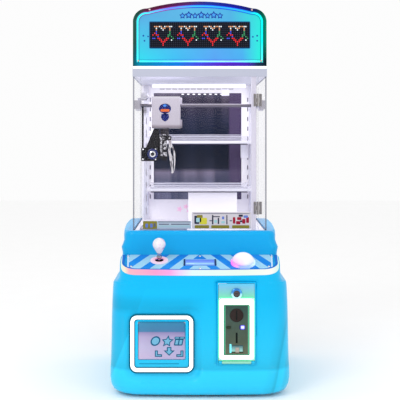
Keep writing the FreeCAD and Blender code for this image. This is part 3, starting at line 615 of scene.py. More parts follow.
def tinted(s, share, color, along, stops):
    """A colour shaded, by a share, with levels of grey along a value."""
    levels = s.ramp(along, [(place, (level, level, level)) for place, level in stops])
    return s.mix(share, color, s.mix(1.0, color, levels, "MULTIPLY"))


def crease_shading(s, color):
    """Soft light and shade along the corner facets, the skirt and the top of the dish."""
    front = s.node_range(s.coord(1), -0.150, -0.225)
    below = s.math("MULTIPLY", front, s.axis(2, 0.30, 0.18))
    right = s.math("SUBTRACT", s.coord(0), s.math("MULTIPLY", s.coord(2), 0.226))
    color = tinted(s, below, color, s.node_range(right, 0.160, 0.216),
                   [(0.0, 1.0), (0.4, 0.9), (0.55, 0.76), (0.63, 0.98), (0.85, 1.04), (1.0, 0.9)])
    left = s.math("SUBTRACT", s.math("MULTIPLY", s.coord(2), 0.395), s.coord(0))
    color = tinted(s, below, color, s.node_range(left, 0.245, 0.290),
                   [(0.0, 1.0), (0.25, 1.06), (0.35, 0.86), (1.0, 0.86)])
    color = tinted(s, front, color, s.axis(2, 0.04, 0.14),
                   [(0.0, 1.06), (0.32, 1.1), (0.39, 0.86), (0.6, 0.94), (1.0, 1.0)])
    beside = s.math("MULTIPLY", front, s.axis(0, 0.02, -0.03))
    return tinted(s, beside, color, s.axis(2, 0.222, 0.30),
                  [(0.0, 1.04), (0.2, 0.84), (0.42, 0.88), (0.7, 1.03), (1.0, 1.0)])


def make_shells():
    cyan = cyan_plastic("cyan_moulding", (0.002, 0.45, 0.80), (0.03, 0.55, 0.83), 0.02, 0.26, True)
    # The collar's apron and flanks take darker copies of the cyan, as painted shade.
    apron = cyan_plastic("cyan_apron", (0.005, 0.36, 0.74), (0.002, 0.35, 0.70), 0.36, 0.43)
    shell = base_shell_piece(cyan)
    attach(shell, "machine")
    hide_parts("base_shell")
    dress("collar_shell", apron)
    make_flanks(cyan_plastic("cyan_flank", (0.02, 0.42, 0.80), (0.005, 0.36, 0.74), 0.37, 0.43))
    return cyan


def make_flanks(material):
    """The collar's sides, which widen towards the back."""
    stations = (
        (-152, -12), (-135, 2), (-111, 8), (-60, 11), (-19, 13), (81, 17), (200, 17), (246, 15), (256, 10))
    for side, name in ((-1, "left"), (1, "right")):
        bm = bmesh.new()
        rings = []
        for y, extra in stations:
            outer = 204 + extra
            low = max(209, outer - 4)
            section = (
                (190, 435.6), (outer - 5, 435.8), (outer - 2, 434.8), (outer, 431), (outer + 1, 420),
                (max(211, outer), 396), (low, 372), (low - 6, 367.5), (190, 367.5))
            rings.append([(side * x, y, z) for x, z in section])
        rows = loft_rings(bm, rings)
        bm.faces.new(rows[0])
        bm.faces.new(rows[-1])
        bmesh.ops.recalc_face_normals(bm, faces=bm.faces)
        piece = mesh_object("collar_flank_" + name, bm, material, smooth=35.0)
        fit(piece, "machine")


# ---------------------------------------------------------------- control panel

def panel_print():
    """Pale and blue diagonal stripes, mirrored about the middle, under a clear gloss film."""
    s = Shader("panel_print", rgb(48, 149, 231), 0.28)
    s.set("Specular IOR Level", 0.05)
    across = s.math("ABSOLUTE", s.coord(0))
    slant = s.math("MULTIPLY", s.math("ADD", s.coord(1), 0.249), 0.6)
    place = s.math("DIVIDE", s.math("SUBTRACT", s.math("ADD", across, slant), 0.0486), 0.0533)
    pale = s.math("LESS_THAN", s.math("FRACT", place), 0.52)
    blue = s.ramp(s.noise(14.0), [(0.3, rgb(24, 116, 206)), (0.7, rgb(40, 138, 222))])
    stripes = s.mix(pale, blue, rgb(152, 200, 224))
    line = s.band(s.math("SUBTRACT", across, s.math("MULTIPLY", s.coord(1), 0.07)), 0.2075, 0.2115)
    outer = s.math("GREATER_THAN", s.math("SUBTRACT", across, s.math("MULTIPLY", s.coord(1), 0.07)), 0.2115)
    s.base(s.mix(line, s.mix(outer, stripes, rgb(20, 140, 205)), rgb(190, 215, 235)))
    s.surface(900, 0.04, 0.03)
    s.set("Coat Weight", 0.04)
    return s.material


def panel_spot(x, y, up=0.0):
    """A point over the sloped panel, in millimetres, at a height along its normal."""
    return (x, y - up * math.sin(PANEL_TILT), panel_z(y) + up * math.cos(PANEL_TILT))


def strip_diffuser():
    """Back-lit edge, pink on the left and white on the right, inside a blue gasket next to the panel."""
    s = Shader("strip_diffuser", (0.05, 0.05, 0.05), 0.4)
    s.set("Specular IOR Level", 0.0)
    stops = (
        (-214, rgb(230, 250, 240)), (-200, rgb(255, 240, 214)), (-188, rgb(255, 186, 200)),
        (-120, rgb(255, 160, 212)), (-80, rgb(255, 168, 236)), (-55, rgb(244, 214, 255)),
        (-20, rgb(232, 255, 255)), (120, rgb(238, 255, 244)), (190, rgb(255, 255, 250)),
        (214, rgb(215, 250, 240)))
    color = s.ramp(s.axis(0, -0.214, 0.214), [((x + 214) / 428, c) for x, c in stops])
    corner, bow = CONSOLE_X - CONSOLE_R, BASE_BOW * MM
    across = s.math("ABSOLUTE", s.coord(0))
    share = s.math("MINIMUM", s.math("DIVIDE", across, corner * MM), 1.0)
    bulge = s.math("MULTIPLY", s.math("SUBTRACT", 1.0, s.math("POWER", share, 2.0)), bow)
    front = s.math(
        "MULTIPLY", s.math("ADD", s.coord(1), (-CONSOLE_FRONT - BASE_BOW - CONSOLE_R) * MM), -1.0)
    ahead = s.math("MAXIMUM", s.math("SUBTRACT", front, bulge), 0.0)
    aside = s.math("MAXIMUM", s.math("SUBTRACT", across, corner * MM), 0.0)
    far = s.hypot(ahead, aside)
    inset = s.math("SUBTRACT", CONSOLE_R * MM, far)
    width = s.math("MULTIPLY", s.math("ADD", s.coord(1), 0.160), -0.05)
    lit = s.math("LESS_THAN", inset, s.math("ADD", width, 0.0002))
    s.glow(s.mix(lit, (0, 0, 0), color), 0.93)
    s.base(s.mix(lit, rgb(40, 110, 196), (0.05, 0.05, 0.05)))
    s.surface(700, 0.05, 0.02)
    return s.material


def make_panel():
    dress("panel_plate", panel_print())
    dress("panel_screws", metal("screw_steel", (0.75, 0.75, 0.78), 0.25, scale=900))
    dress("panel_light_strip", strip_diffuser())
    s = Shader("display_bezel", rgb(40, 60, 120), 0.35)
    ends = s.math("GREATER_THAN", s.math("ABSOLUTE", s.coord(0)), 0.0392)
    s.base(s.shade(s.mix(ends, rgb(120, 160, 225), rgb(28, 40, 92)), 0.08, 30.0))
    s.surface(1200, 0.06, 0.05)
    dress("display_module", s.material)
    screen = lit_ramp(
        "display_glass", 1,
        [(-233, rgb(126, 176, 230)), (-222, rgb(104, 124, 216)), (-208, rgb(82, 92, 180))], 0.66, body=0.02,
        roughness=0.12, coat=0.6)
    bm = bmesh.new()
    add_box(bm, -37.6, 37.6, -12.6, 12.6, 0.7, 1.5)
    bevelled(bm, 0.35)
    turn = Matrix.Translation(panel_spot(0, -220.5)) @ Matrix.Rotation(PANEL_TILT, 4, "X")
    bmesh.ops.transform(bm, matrix=turn, verts=bm.verts)
    glass = mesh_object("display_screen", bm, screen)
    fit(glass, "machine")


def turned_on_panel(name, profile, x, y, material, body, slot, steps=64):
    piece = lathe(name, profile, material, steps, Matrix.Rotation(PANEL_TILT, 4, "X"), panel_spot(x, y))
    fit(piece, body)
    return piece


def pearl(name):
    """Translucent pearl plastic with a soft lilac mottling, lit from below."""
    s = Shader(name, rgb(232, 226, 240), 0.22)
    tones = s.ramp(
        s.noise(70.0, 5.0),
        [(0.34, rgb(186, 164, 190)), (0.47, rgb(226, 218, 230)), (0.62, rgb(212, 214, 220))])
    s.base(tones)
    s.glow(tones, 0.04)
    s.surface(700, 0.05, 0.04)
    s.set("Coat Weight", 0.25)
    return s.material


def make_stick_disc():
    """The disc under the joystick, lit pink at its middle."""
    s = Shader("lit_disc", rgb(255, 200, 225), 0.3)
    dx = s.math("SUBTRACT", s.coord(0), STICK[0] * MM)
    dy = s.math("SUBTRACT", s.coord(1), STICK[1] * MM)
    away = s.hypot(dx, dy)
    spread = s.math("DIVIDE", away, 0.025)
    tones = s.ramp(
        spread,
        [
            (0.0, rgb(255, 90, 150)), (0.35, rgb(255, 140, 190)), (0.6, rgb(255, 214, 236)),
            (1.0, rgb(244, 226, 250))])
    s.set("Specular IOR Level", 0.0)
    s.base(s.mix(0.6, s.shade(tones, 0.05, 40.0), (0.0, 0.0, 0.0)))
    s.glow(tones, 0.5)
    s.surface(600, 0.05, 0.03)
    turned_on_panel(
        "stick_disc", [(12.2, 0.1), (12.2, 2.2), (14, 2.8), (22.5, 2.4), (24.2, 1.6), (24.5, 0.1)], *STICK,
        s.material, "machine", "pearl_plastic")


def make_joystick():
    dress("joystick_knob", pearl("knob_pearl"))
    dress("joystick_shaft", metal("stick_chrome", (0.62, 0.58, 0.66), 0.14, scale=700, bump=0.03))
    make_stick_disc()
    s = Shader("stick_collar", (0.1, 0.09, 0.12), 0.25, 0.6)
    low = panel_z(STICK[1]) + 6.0
    # Bands of dark and bright up the collar are painted reflections on its chrome, with a painted pink
    # reflection of the lit disc at its foot.
    s.base(s.ramp(
        s.axis(2, low * MM, (low + 9.5) * MM),
        [
            (0.0, rgb(240, 120, 160)), (0.2, rgb(40, 34, 44)), (0.36, rgb(200, 190, 204)),
            (0.5, rgb(30, 26, 34)), (0.68, rgb(190, 186, 198)), (0.84, rgb(40, 36, 44)),
            (1.0, rgb(206, 200, 212))]))
    s.surface(700, 0.05, 0.05)
    turned_on_panel(
        "stick_boot",
        [
            (4.2, 7.8), (6.0, 7.9), (6.0, 8.5), (5.0, 8.9), (6.6, 9.6), (7.0, 10.4), (7.6, 11.8),
            (6.8, 13.4), (6.2, 15.0), (4.2, 15.4)],
        *STICK, s.material, "joystick", "black_plastic", 40)


def make_button():
    s = Shader("dome_plastic", rgb(246, 242, 255), 0.16)
    side = s.axis(0, 0.088, 0.130)
    rise = s.axis(2, 0.352, 0.378)
    # The dome's paler top and pink left side are painted light.
    upper = s.ramp(
        side,
        [
            (0.0, rgb(255, 150, 235)), (0.45, rgb(248, 196, 250)), (0.8, rgb(236, 238, 255)),
            (1.0, rgb(228, 240, 255))])
    color = s.mix(rise, upper, rgb(255, 250, 255))
    s.base(s.mix(0.2, s.shade(color, 0.03, 30.0), (0.0, 0.0, 0.0)))
    s.glow(color, 0.12)
    s.surface(800, 0.04, 0.03)
    s.set("Coat Weight", 0.3)
    dress("button_dome", s.material)
    # The rim glows as painted light, and the pink towards its left end is a painted highlight.
    dress(
        "button_rim",
        lit_ramp(
            "rim_plastic", 0,
            [
                (84, rgb(255, 120, 220)), (97, rgb(240, 160, 235)), (106, rgb(150, 165, 240)),
                (128, rgb(150, 180, 245)), (150, rgb(214, 236, 255))],
            0.45, body=0.2))


# ---------------------------------------------------------------- prize door

def outline_ring(name, rect, width, r, y0, y1, material, body="machine"):
    x0, x1, z0, z1 = rect
    outer = rounded_outline(x0 - width, x1 + width, z0 - width, z1 + width, r + width)
    piece = front_ring(name, outer, rounded_outline(x0, x1, z0, z1, r), y0, y1, material, crown=0.4)
    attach(piece, body)
    return piece


def flap_film():
    """Lavender film with a steel-blue band along the top, for the hinge bar and its painted shadow, a pale
    left edge and fine vertical streaks.
    """
    s = Shader("flap_film", rgb(178, 158, 196), 0.3)
    height = s.axis(2, 0.1035, 0.199)
    # Darker towards the top, into the steel-blue band of the hinge bar and its painted shadow.
    down = s.ramp(
        height,
        [
            (0.0, rgb(178, 164, 196)), (0.35, rgb(168, 162, 194)), (0.62, rgb(158, 148, 184)),
            (0.745, rgb(132, 124, 166)), (0.77, rgb(60, 112, 152)), (1.0, rgb(46, 122, 158))])
    side = s.ramp(
        s.axis(0, -0.165, -0.038),
        [(0.0, (1.18, 1.16, 1.12)), (0.3, (1.0, 1.0, 1.0)), (1.0, (0.9, 0.92, 0.98))])
    color = s.shade(s.mix(1.0, down, side, "MULTIPLY"), 0.05, 18.0)
    s.base(color)
    # A faint glow over the film, as painted light.
    s.glow(color, 0.1)
    s.surface(300, 0.05, 0.03, stretch=(1, 1, 0.05))
    s.set("Coat Weight", 0.4)
    return s.material


def sign_shape(name, outline, inner, y, dark, light):
    """A printed sign on the flap: a dark outline with a lighter shape inside it."""
    fit(prism(name, outline, y - 0.3, y, dark, 0.08), "flap")
    fit(prism(name + "_fill", inner, y - 0.6, y - 0.25, light, 0.08), "flap")


def leaned(points):
    """Points sheared to the right, as the sign's shapes lean."""
    return [(x + (z - 139) * 0.2, z) for x, z in points]


def frame_shape(x0, x1, z0, z1, r):
    return rounded_outline(x0, x1, z0, z1, r, 5)


def make_flap_sign():
    """A token, a star and a parcel over an arrow that points down into a tray."""
    dark = plastic("sign_teal", rgb(16, 92, 128), 0.35, grain=1300, tint=0.12)
    light = plastic("sign_blue", rgb(112, 176, 208), 0.3, grain=1300, tint=0.12)
    y = PAD_Y - 1.0
    disc = circle(-121, 152, 13, 24)
    hub = circle(-121, 152, 13 * 0.72, 24)
    sign_shape("token", leaned(disc), leaned(hub), y, dark, light)
    sign_shape(
        "prize_star", leaned(star(-89, 151, 16.5, 5, 0.5)), leaned(star(-89, 151, 11, 5, 0.5)), y, dark,
        light)
    sign_shape(
        "parcel", leaned(frame_shape(-70, -47, 140, 158, 3)), leaned(frame_shape(-67, -50, 143, 155, 1.5)),
        y, dark, light)
    sign_shape(
        "parcel_lid", leaned(frame_shape(-72, -45, 157, 163.5, 2)),
        leaned(frame_shape(-70, -47, 158.8, 161.7, 1)), y, dark, light)
    ribbon = leaned(frame_shape(-60, -57, 141, 162, 0.8))
    fit(prism("parcel_ribbon", ribbon, y - 0.9, y - 0.5, dark, 0.08), "flap")
    arrow = [(-88, 136), (-76, 136), (-76, 127), (-67, 127), (-82, 113), (-97, 127), (-88, 127)]
    inner = [
        (-85.4, 133.6), (-78.6, 133.6), (-78.6, 124.6), (-73.2, 124.6), (-82, 116.4), (-90.8, 124.6),
        (-85.4, 124.6)]
    sign_shape("drop_arrow", arrow, inner, y, dark, light)
    tray = [(-120, 127), (-112, 127), (-112, 117), (-101, 117), (-101, 110), (-120, 110)]
    tray_in = [
        (-117.6, 124.6), (-114.4, 124.6), (-114.4, 114.6), (-103.4, 114.6), (-103.4, 112.4),
        (-117.6, 112.4)]
    sign_shape("tray_left", tray, tray_in, y, dark, light)
    sign_shape(
        "tray_right", [(-164 - x, z) for x, z in reversed(tray)],
        [(-164 - x, z) for x, z in reversed(tray_in)], y, dark, light)


def make_prize_door(cyan):
    dress("prize_frame", cyan)
    dress("prize_light_ring", lamp("ring_diffuser", (1.0, 1.0, 0.99), 1.25))
    dress("prize_flap", flap_film())
    gasket = plastic("teal_gasket_and_shade", rgb(0, 96, 122), 0.5, grain=1400, bump=0.1)
    outline_ring(
        "ring_outer_gasket", (-184.6, -18.4, 71.4, 220.6), 4.0, 17.5, PAD_Y - 7.6, PAD_Y + 0.5, gasket)
    # The inner ring is a dark ring of painted shade round the frame's inner edge.
    outline_ring(
        "ring_inner_shade", (-172.6, -30.4, 83.4, 208.6), 2.4, 6.6, PAD_Y - 5.4, PAD_Y - 3.9, gasket)
    make_flap_sign()
    seam = plastic("lip_seam", rgb(10, 128, 170), 0.4, grain=1300)
    fit(block("lip_groove", -162, -56, -260.3, -259.7, 91.4, 93.4, seam, 0.25), "machine")


# ---------------------------------------------------------------- coin door

def dress_coin_door(cyan):
    dress("coin_door_frame", cyan)
    s = Shader("coin_plate", rgb(120, 190, 190), 0.34, 0.3)
    # Pale greens beside the light frame, brightest near its top, are the frame's painted glow on the plate;
    # above them it turns blue towards the lock.
    s.base(s.shade(
        s.ramp(
            s.axis(2, 0.101, 0.305),
            [
                (0.0, rgb(150, 215, 190)), (0.78, rgb(120, 226, 170)), (0.86, rgb(120, 205, 190)),
                (0.95, rgb(120, 190, 220)), (1.0, rgb(90, 196, 232))]),
        0.06, 25.0))
    s.surface(500, 0.08, 0.05, stretch=(1, 1, 0.1))
    dress("coin_door_plate", s.material)
    dress("coin_light_frame", lamp("coin_diffuser", (0.95, 1.0, 0.93), 1.3))
    s = Shader("acceptor_moulding", rgb(84, 96, 86), 0.42)
    tone = s.ramp(
        s.axis(2, 0.118, 0.248),
        [(0.0, rgb(98, 104, 84)), (0.25, rgb(76, 88, 74)), (0.7, rgb(66, 84, 76)), (1.0, rgb(48, 76, 70))])
    # A pale green strip at each side, next to the light frame, is the frame's painted glow.
    edge = s.math("GREATER_THAN", s.math("ABSOLUTE", s.math("SUBTRACT", s.coord(0), COIN_X * MM)), 0.0300)
    s.base(s.shade(s.mix(edge, tone, rgb(96, 190, 150)), 0.1, 60.0))
    s.surface(1300, 0.08, 0.2, 0.0001)
    dress("coin_acceptor", s.material)


def make_coin_slots():
    """The coin cup, and dark blocks of painted shade for its slot and the reject slot."""
    dark = plastic("cup_moulding", rgb(48, 38, 36), 0.3, grain=1000, tint=0.3)
    slot = plastic("slot_shadow", rgb(8, 20, 18), 0.5, grain=900)
    profile = [(0.0, 0.0), (9.0, 0.5), (14.5, 1.4), (16.6, 2.6), (17.4, 2.6), (17.4, -0.6), (0.0, -0.6)]
    cup = front_lathe("coin_cup_liner", profile, dark, 48, (COIN_X, -264.4, 222))
    fit(cup, "coin_door")
    piece = block("coin_slot_shade", 95.7, 98.3, -265.6, -263.8, 207, 239, slot, 0.5)
    fit(piece, "coin_door")
    piece = block("reject_slot_shade", 94.8, 99.2, -265.4, -263.0, 148.4, 175.6, slot, 0.7)
    fit(piece, "coin_door")


def make_status_lamp():
    led = lamp("status_led", rgb(196, 200, 255), 1.3, 300)
    piece = block("status_lamp", 108.4, 117.2, -266.5, -264.0, 186.4, 194.0, led, 1.6, 3)
    fit(piece, "coin_door")
    backing = plastic("status_backing", rgb(44, 44, 96), 0.4, grain=900)
    piece = block("status_backing", 104.2, 119.8, -265.9, -264.0, 184.2, 195.8, backing, 1.2)
    fit(piece, "coin_door")
    halo = lit_ramp(
        "status_halo", 0, [(104, rgb(60, 60, 160)), (113, rgb(110, 100, 230)), (121, rgb(60, 60, 150))],
        0.5)
    piece = front_ring(
        "status_bezel", rounded_outline(106.4, 119.2, 184.4, 196.0, 3.5),
        rounded_outline(108.2, 117.4, 186.2, 194.2, 2), -266.7, -265.9, halo, 0.3)
    fit(piece, "coin_door")


def make_coin_glow():
    """Thin rings that carry the glow of the light frame, outside and inside it."""
    fringe = lamp("glow_fringe", rgb(120, 250, 190), 1.0, 200)
    outer = rounded_outline(48.6, 145.4, 102.6, 268.4, 9)
    ring = front_ring(
        "glow_fringe_outer", outer, rounded_outline(51, 143, 105, 266, 7), -265.3, -261.4, fringe, 0.5)
    fit(ring, "coin_door")
    inner = rounded_outline(62.4, 131.6, 116.4, 249.6, 3)
    ring = front_ring(
        "glow_fringe_inner", inner, rounded_outline(64.8, 129.2, 118.8, 247.2, 1), -266.3, -264.6,
        plastic("face_edge", rgb(40, 130, 96), 0.4), 0.3)
    fit(ring, "coin_door")


def make_return_mouth():
    dress("coin_return_button", plastic("return_button", rgb(36, 50, 34), 0.4, grain=1200, coat=0.2))
    # The return flap's glowing colours are a painted glint.
    glint = lit_ramp(
        "mouth_tray_glint", 2, [(124, rgb(150, 200, 190)), (134, rgb(110, 150, 150)), (142, rgb(60, 84, 90))],
        0.35, body=0.2)
    dress("coin_return_flap", glint)
    # A glowing block beside the mouth, as a painted highlight.
    glow = lamp("mouth_glint", rgb(120, 235, 245), 1.0, 200)
    piece = block("mouth_glint_block", 78.2, 83.2, -266.6, -264.2, 122.5, 146, glow, 0.9)
    fit(piece, "coin_door")
    piece = block(
        "mouth_guard", 93.4, 103.6, -267.0, -264.2, 123.5, 136.5,
        plastic("guard_grey", rgb(170, 160, 150), 0.35, grain=900), 1.0)
    fit(piece, "coin_door")


def make_lock():
    dress("lock_cylinder", metal("lock_brass", (0.10, 0.08, 0.09), 0.25))
    # Pale cyan below and blue above on the ring are painted reflections on its metal.
    s = Shader("lock_bezel", rgb(200, 230, 240), 0.15, 0.5)
    s.base(s.shade(
        s.ramp(
            s.axis(2, 0.264, 0.294),
            [
                (0.0, rgb(220, 255, 250)), (0.45, rgb(170, 240, 250)), (0.6, rgb(70, 150, 220)),
                (1.0, rgb(40, 110, 190))]),
        0.06, 60.0))
    s.surface(900, 0.05, 0.03)
    ring = front_lathe(
        "lock_ring", [(8.3, 0.2), (8.3, 1.8), (9.6, 2.6), (12.6, 2.6), (14.4, 1.4), (14.8, 0.2)],
        s.material, 48, (COIN_X, -265.9, LOCK_Z))
    fit(ring, "coin_door")
    black = plastic("lock_gasket", rgb(10, 26, 34), 0.5, grain=1100)
    gap = front_lathe(
        "lock_gasket", [(8.05, 0.1), (8.05, 1.2), (8.4, 2.0), (9.5, 2.2), (9.8, 0.1)], black, 48,
        (COIN_X, -266.0, LOCK_Z))
    fit(gap, "coin_door")


def make_coin_door(cyan):
    dress_coin_door(cyan)
    make_coin_slots()
    make_status_lamp()
    make_coin_glow()
    make_return_mouth()
    make_lock()
    # A dark line along the door's bottom, for its lip and the lip's painted shadow.
    line = plastic("door_shadow_line", rgb(60, 130, 100), 0.5, grain=1100)
    fit(block("door_bottom_lip_shadow", 61, 131, -262.6, -261.2, 101.2, 103.2, line, 0.4), "coin_door")


# ---------------------------------------------------------------- glazed cabinet

def acrylic(name, x_edges, y_edges, veil):
    """Clear sheet: nearly invisible across its faces, grey-lavender at its cut edges."""
    s = Shader(name, (0.9, 0.92, 1.0), 0.04)
    s.set("Specular IOR Level", 0.03)
    edge = None
    for index, places in ((0, x_edges), (1, y_edges)):
        for low, high in places:
            here = s.band(s.coord(index), low * MM, high * MM)
            edge = here if edge is None else s.math("MAXIMUM", edge, here)
    side = s.math("GREATER_THAN", s.math("ABSOLUTE", s.coord(0)), 0.1819)
    front = s.math("LESS_THAN", s.coord(1), -0.1415)
    corner = s.math("MULTIPLY", side, front)
    dust = s.math("MULTIPLY", s.noise(3.0), 0.01)
    alpha = s.math("ADD", s.math("ADD", dust, veil), s.math("MULTIPLY", edge, 0.3))
    s.link(s.math("ADD", alpha, s.math("MULTIPLY", corner, 0.72)), s.bsdf.inputs["Alpha"])
    s.base(s.mix(corner, s.mix(edge, rgb(196, 196, 210), rgb(176, 174, 190)), rgb(104, 106, 122)))
    s.surface(40, 0.02, 0.0)
    return s.material


def painted(name, color, roughness=0.45, glow=0.0, tint=0.03):
    """Powder-coated sheet metal with a fine orange-peel; a glow, where given, is painted light."""
    s = Shader(name, color, roughness)
    tones = s.ramp(s.noise(5.0, 3.0), [(0.3, tuple(c * (1 - tint) for c in color)), (0.7, color)])
    s.base(tones)
    s.surface(1100, 0.06, 0.08, 0.0001)
    if glow:
        s.glow(tones, glow)
    return s.material


def dark_window():
    """Dark rear glass: paler towards the bottom, lavender at its right, with soft reflections."""
    s = Shader("dark_window", rgb(46, 50, 68), 0.09)
    s.set("Specular IOR Level", 0.02)
    down = s.ramp(
        s.axis(2, 0.49, 0.848),
        [
            (0.0, rgb(100, 102, 124)), (0.12, rgb(96, 98, 120)), (0.2, rgb(84, 84, 104)),
            (0.26, rgb(104, 98, 118)), (0.3, rgb(34, 38, 52)), (0.45, rgb(20, 26, 42)),
            (0.62, rgb(22, 28, 46)), (0.75, rgb(38, 40, 58)), (0.9, rgb(60, 54, 68)),
            (1.0, rgb(104, 98, 118))])
    patches = s.ramp(
        s.noise(5.0, 3.0, (5.0, 1.0, 0.6)),
        [(0.36, (0.55, 0.6, 0.68)), (0.5, (1.0, 1.0, 1.0)), (0.66, (1.45, 1.42, 1.4))])
    color = s.mix(1.0, down, patches, "MULTIPLY")
    right = s.axis(0, 0.094, 0.100)
    color = s.mix(right, color, s.mix(0.25, rgb(66, 54, 82), color, "ADD"))
    s.base(color)
    s.glow(color, 0.3)
    s.surface(30, 0.03, 0.0)
    return s.material


def shelf_upstand():
    """Clear upright edge of a shelf, with pale lines where it catches the light."""
    s = Shader("shelf_upstand", rgb(214, 212, 228), 0.1)
    wave = s.node("ShaderNodeTexWave", Scale=0.16, Distortion=0.6, Detail=1.0)
    wave.bands_direction = "Z"
    mapping = s.node("ShaderNodeMapping")
    mapping.inputs["Scale"].default_value = (0.3, 0.3, 300.0)
    s.link(s.place(), mapping.inputs["Vector"])
    s.link(mapping.outputs["Vector"], wave.inputs["Vector"])
    s.link(s.math("ADD", s.math("MULTIPLY", wave.outputs["Fac"], 0.45), 0.12), s.bsdf.inputs["Alpha"])
    s.surface(200, 0.05, 0.0)
    return s.material


def deck_paint():
    """White deck, glowing faintly as painted light; the plinth on it is cooler and brighter, with painted
    shade at its ends.
    """
    s = Shader("deck_white", rgb(206, 204, 216), 0.4)
    plinth = s.math("GREATER_THAN", s.coord(2), 0.4345)
    end = s.math("ABSOLUTE", s.math("SUBTRACT", s.coord(0), 0.042))
    face = s.ramp(
        s.node_range(end, 0.060, 0.076),
        [(0.0, rgb(226, 238, 240)), (0.7, rgb(218, 226, 232)), (1.0, rgb(150, 150, 170))])
    color = s.shade(s.mix(plinth, rgb(206, 204, 216), face), 0.03, 8.0)
    s.base(color)
    s.glow(color, 0.42)
    s.surface(1100, 0.06, 0.08, 0.0001)
    return s.material


def make_shelf_edges():
    """The front lips and clear upstands of both shelves, and the bracket under the upper one."""
    white = painted("lip_white", rgb(214, 212, 224), 0.2, 0.06)
    clear = shelf_upstand()
    back, front_y = 147.2, 149.8
    for z, name in ((677, "upper"), (529, "lower")):
        piece = block(name + "_shelf_lip", -163, 163, back, front_y, z - 1, z + 8, white, 0.7)
        fit(piece, "machine")
        piece = block(
            name + "_shelf_shadow", -150, 150, back - 0.2, front_y, z - 4.5, z - 1.2,
            painted(name + "_shadow", rgb(52, 50, 68), 0.3), 0.5)
        fit(piece, "machine")
        piece = block(name + "_shelf_upstand", -150, 150, back + 0.4, 149.6, z + 8.2, z + 27, clear, 0.4)
        fit(piece, "machine")
    piece = block(
        "shelf_bracket", 133, 157, 226, 245.5, 630, 676.5,
        painted("bracket_paint", rgb(222, 220, 232), 0.4, 0.25), 2.0)
    fit(piece, "machine")


def make_rear_trim():
    """Slots in the uprights, LEDs over the window, vents, the ceiling lamp and a bracket; the slots and
    vents are darker blocks, painted as the shade inside them.
    """
    slots = plastic("upright_slots", rgb(112, 108, 126), 0.5)
    for side in (-1, 1):
        for i in range(11):
            z = 500 + 31 * i
            piece = block(
                "upright_slot_%s_%d" % ("L" if side < 0 else "R", i), side * 156 - 1.6, side * 156 + 1.6,
                REAR_Y + 0.2, REAR_Y + 1.4, z, z + 13, slots, 0.5)
            fit(piece, "machine")
    led = lamp("window_leds", (0.98, 0.97, 1.0), 1.3, 400)
    for i in range(9):
        x = -52 + 17.7 * i
        piece = block(
            "window_led_%d" % i, x - 4.0, x + 4.0, REAR_Y - 0.2, REAR_Y + 1.2, 832.6, 835.6, led, 0.4)
        fit(piece, "machine")
    slot = painted("vent_slot", rgb(150, 146, 160), 0.5)
    for i in range(12):
        x = -118 + 20.0 * i
        piece = block("back_vent_%d" % i, x - 8, x + 8, REAR_Y, REAR_Y + 1.4, 849.5, 851.5, slot, 0.4)
        fit(piece, "machine")
    bar = lamp("ceiling_lamp", (0.97, 0.97, 1.0), 1.3)
    fit(block("ceiling_lamp", -148, 148, 212, 225.5, 854.0, 862.6, bar, 1.5, 3), "machine")
    piece = block(
        "window_bracket", 72, 97, 241, 246, 829, 850,
        painted("bracket_white", rgb(232, 230, 240), 0.4, 0.3), 1.5)
    fit(piece, "machine")


def make_hinges():
    # Bands of dark and bright across the hinges are painted reflections on their metal.
    s = Shader("hinge_alloy", rgb(128, 124, 126), 0.36, 0.2)
    s.base(s.shade(
        s.ramp(
            s.axis(0, 0.150, 0.184),
            [
                (0.0, rgb(92, 86, 86)), (0.14, rgb(150, 145, 146)), (0.3, rgb(120, 114, 114)),
                (0.42, rgb(176, 172, 172)), (0.55, rgb(108, 102, 104)), (0.75, rgb(168, 165, 168)),
                (1.0, rgb(120, 118, 124))]),
        0.15, 90.0))
    s.surface(600, 0.08, 0.08)
    dress("frame_hinge_leaves", s.material)
    dress("door_hinge_leaves", s.material)
    for i, z in enumerate((487, 508, 787, 808)):
        for x in (154.0, 167.0):
            head = front_lathe(
                "hinge_screw_%d_%d" % (i, x), [(0.0, 0.9), (1.2, 0.9), (2.0, 0.2), (2.1, -0.3)],
                metal("hinge_screw", (0.3, 0.29, 0.31)), 16, (x, -145.4, z))
            fit(head, "cabinet_door")


def make_cabinet():
    dress(
        "fixed_glazing",
        acrylic("side_acrylic", ((-166.2, -164.8), (161.9, 163.4)), ((257.4, 259.0),), 0.05))
    dress(
        "front_door", acrylic("door_acrylic", ((-165.0, -163.4), (159.4, 161.0)), ((300.0, 301.0),), 0.003))
    dress("roof_box", painted("roof_paint", rgb(176, 179, 195), 0.4))
    dress("ceiling_panel", painted("ceiling_white", rgb(206, 206, 222), 0.4, 0.15))
    dress("rear_frame", painted("rear_white", rgb(233, 230, 238), 0.4, 0.2))
    dress("rear_glass", dark_window())
    dress("deck", deck_paint())
    dress("shelves", painted("shelf_acrylic", rgb(206, 203, 218), 0.15, 0.1))
    dress("shelf_supports", painted("upright_white", rgb(212, 210, 224), 0.4, 0.05))
    dress("light_post", lamp("post_diffuser", rgb(206, 202, 218), 0.72))
    make_shelf_edges()
    make_rear_trim()
    make_hinges()


